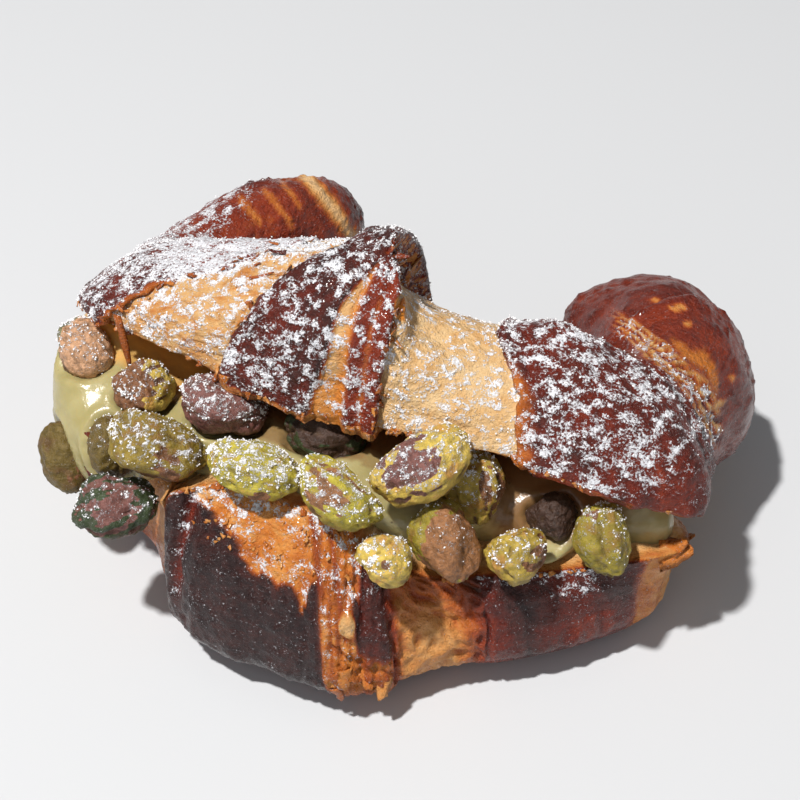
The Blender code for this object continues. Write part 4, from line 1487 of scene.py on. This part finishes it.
def add_leaf(start, forward, up, length, width, lift, curl, thick, looks, number):
    """One thin leaf from start, in mm, which lifts and curls as it goes forward."""
    side = forward.cross(up).normalized()
    first, around = len(flake_points), len(LEAF_OUTLINE)
    for ring in range(LEAF_RINGS):
        share = ring / (LEAF_RINGS - 1)
        wobble = lumps(np.array((number * 7.3, share * 2.2, 0.5)), 1.0, 131)
        centre = start + forward * (length * (share - 0.12))
        centre = centre + side * (0.25 * width * wobble * share)
        centre = centre + up * (lift * (share - 0.35) + curl * share**2)
        half_width = 0.5 * width * (1 - 0.55 * share**2) * (1 + 0.5 * wobble)
        if ring == LEAF_RINGS - 1:
            half_width *= 0.45
        for across, above in LEAF_OUTLINE:
            bow = 0.18 * width * (1 - across**2) * (1 - share)
            edge = centre + side * (across * half_width)
            flake_points.append(edge + up * (0.5 * above * thick) + up * bow)
        for values, value in zip(flake_marks.values(), looks):
            values.extend([value + 0.06 * wobble] * around)
    for ring in range(LEAF_RINGS - 1):
        for k in range(around):
            a, b = first + ring * around + k, first + ring * around + (k + 1) % around
            flake_faces.append((a, b, b + around, a + around))
    flake_faces.append(tuple(first + k for k in reversed(range(around))))
    flake_faces.append(tuple(first + (LEAF_RINGS - 1) * around + k for k in range(around)))


def add_flake(half, row, way, heading, length, width, lift, curl, bake, amber, number):
    """A leaf on the crust of one half."""
    start, along, over, outwards = on_crust(half, row, way)
    forward = along * math.cos(math.radians(heading)) + over * math.sin(math.radians(heading))
    looks = bake, (0.35, 0.12)[half], amber
    add_leaf(start + outwards * 0.1, forward, outwards, length, width, lift, curl,
             0.1 + 0.06 * length, looks, number)


def strew(half, row, way, headings, lengths, widths, lift, curl, bakes, amber, number):
    """A small flake whose heading, length, width and darkness are drawn from these ranges."""
    draw = flake_draws.uniform
    add_flake(half, row, way, draw(*headings), draw(*lengths), draw(*widths), lift, curl,
              draw(*bakes), amber, number)


for number, flake in enumerate(LARGE_FLAKES):
    add_flake(*flake, number)
flake_draws = np.random.default_rng(29)
for number in range(100, 190):
    seam = TOP_SEAMS[flake_draws.choice((2, 3, 4))]
    way = flake_draws.uniform(0.01, 0.62)
    row = np.interp(way, *zip(*seam)) + flake_draws.normal(0, 0.05)
    strew(UPPER, row, way, (0, 360), (0.9, 2.2), (0.5, 1.3), 0.25, 0.3, (0.2, 0.75), 0.3, number)
for number in range(300, 390):
    half = number % 2
    row = flake_draws.uniform(*((5, 14), (4.2, 12.5))[half])
    strew(half, row, 0.006, (-150, -30), (0.8, 1.8), (0.6, 1.6), 0.1, 0.1, (0.25, 0.6), 0.4, number)
for number in range(500, 570):
    row, way = flake_draws.uniform(4.7, 7.3), flake_draws.uniform(0.0, 0.08)
    strew(LOWER, row, way, (0, 360), (0.5, 1.1), (0.4, 0.9), 0.2, 0.2, (0.2, 0.45), 0.4, number)
for number, (start, forward, up, *rest) in enumerate(LOOSE_LEAVES, 700):
    add_leaf(Vector(start), Vector(forward).normalized(), Vector(up).normalized(), *rest, number)
for turn, length, width in FLAP_LEAVES:
    ahead = Vector(FLAP_AHEAD)
    ahead.rotate(Matrix.Rotation(math.radians(turn), 3, "Y"))
    add_leaf(Vector(FLAP_ROOT), ahead.normalized(), Vector(FLAP_UP), length, width, 0.4, 1.6, 1.0,
             (0.42, 0.15, 0.4), 710 + turn)

flake_grid = stay_inside(np.array([tuple(point) for point in flake_points]), cad_box, 0.3)
flake_mesh = bpy.data.meshes.new("crust_flakes")
flake_mesh.from_pydata((flake_grid * MM).tolist(), [], flake_faces)
finish_mesh(flake_mesh, flake_marks)
add_piece(flake_mesh, upper_finish)
print("flakes:", len(flake_points) // (LEAF_RINGS * len(LEAF_OUTLINE)))

# %% [markdown]
# ## Grains of icing sugar
# The finish paints most of the sugar, but the largest grains stand up from the surface and catch
# the light. They are tiny crystals, eight faces each, dropped where the finish has most sugar.

# %% Sugar grains
GRAIN_CORNERS = np.concatenate((np.eye(3), -np.eye(3)))[[0, 3, 1, 4, 2, 5]]
GRAIN_FACES = np.array((
    (0, 2, 4), (2, 1, 4), (1, 3, 4), (3, 0, 4), (2, 0, 5), (1, 2, 5), (3, 1, 5), (0, 3, 5),
))


def add_grains(name, surfaces, count, seed):
    """Crystals on the points of these grids, most of them where their sugar mark is high."""
    draws = np.random.default_rng(seed)
    points = np.concatenate([grid.reshape(-1, 3) for grid, _ in surfaces])
    sugar = np.concatenate([sugar.reshape(-1) for _, sugar in surfaces])
    chance = np.clip(sugar - 0.25, 0, 1) ** 1.5
    chosen = draws.choice(len(points), count, p=chance / chance.sum())
    size = draws.uniform(0.09, 0.24, (count, 1, 1)) * draws.uniform(0.6, 1.3, (count, 1, 3))
    spins = np.linalg.qr(draws.normal(size=(count, 3, 3)))[0]
    spins[:, 0] *= np.sign(np.linalg.det(spins))[:, None]
    corners = (GRAIN_CORNERS[None] * size) @ spins
    corners += (points[chosen] + draws.normal(0, 0.16, (count, 3)))[:, None, :]
    corners = stay_inside(corners.reshape(-1, 3), cad_box, 0.2)
    faces = (GRAIN_FACES[None] + 6 * np.arange(count)[:, None, None]).reshape(-1, 3)
    mesh = bpy.data.meshes.new(name)
    mesh.from_pydata((corners * MM).tolist(), [], faces.tolist())
    add_piece(mesh, grain_look)
    print(name, "grains:", count)


grain_finish = Finish("icing_sugar")
grain_tone = grain_finish.mix(grain_finish.noise(0.5, 2), (0.84, 0.85, 0.90), (0.97, 0.97, 0.97))
grain_look = grain_finish.set(Base_Color=grain_tone, Roughness=0.6)
crust_sugar = [(top_grid, top_values["sugar"]), (bottom_grid, bottom_values["sugar"])]
add_grains("sugar_on_crust", crust_sugar, count=11000, seed=41)
add_grains("sugar_on_kernels", kernel_sugar, count=6000, seed=43)

# %% [markdown]
# ## Floor and light
# The croissant lies on a plain pale floor. A small bright lamp stands high above it, a little to
# the front and left, so that the upper half throws a shadow on the kernels under it. A large dim
# lamp in front and a pale world around fill the shadows.

# %% Floor and light
FLOOR_REACH = 3
FLOOR_LEVEL = -0.0002
WORLD_LIGHT = 0.17
floor_mesh = bpy.data.meshes.new("floor")
corners = [(x * FLOOR_REACH, y * FLOOR_REACH, 0) for x, y in ((-1, -1), (1, -1), (1, 1), (-1, 1))]
floor_mesh.from_pydata(corners, [], [(0, 1, 2, 3)])
floor_look = Finish("floor")
floor_look.set(Base_Color=(0.59, 0.605, 0.63), Roughness=0.9)
floor_mesh.materials.append(floor_look.material)
floor = bpy.data.objects.new("floor", floor_mesh)
floor.location.z = FLOOR_LEVEL
bpy.context.scene.collection.objects.link(floor)


def add_light(name, direction, distance, size, power, colour, shine):
    """A square lamp that looks at the croissant."""
    lamp = bpy.data.lights.new(name, "AREA")
    lamp.size = size
    lamp.energy = power
    lamp.color = colour
    lamp.specular_factor = shine
    made = bpy.data.objects.new(name, lamp)
    towards = Vector(direction).normalized()
    made.location = CAMERA_TARGET + towards * distance
    made.rotation_euler = (-towards).to_track_quat("-Z", "Y").to_euler()
    bpy.context.scene.collection.objects.link(made)
    return made


add_light("sun_side", (-0.17, -0.35, 0.92), 1.6, 0.07, 34, (1.0, 0.975, 0.94), 1.0)
add_light("sky", (0.1, -0.8, 0.6), 1.8, 1.6, 5, (0.93, 0.97, 1.0), 0.35)
world = bpy.data.worlds.new("studio")
world.use_nodes = True
background = world.node_tree.nodes["Background"]
background.inputs["Color"].default_value = (1, 1, 1, 1)
background.inputs["Strength"].default_value = WORLD_LIGHT
bpy.context.scene.world = world
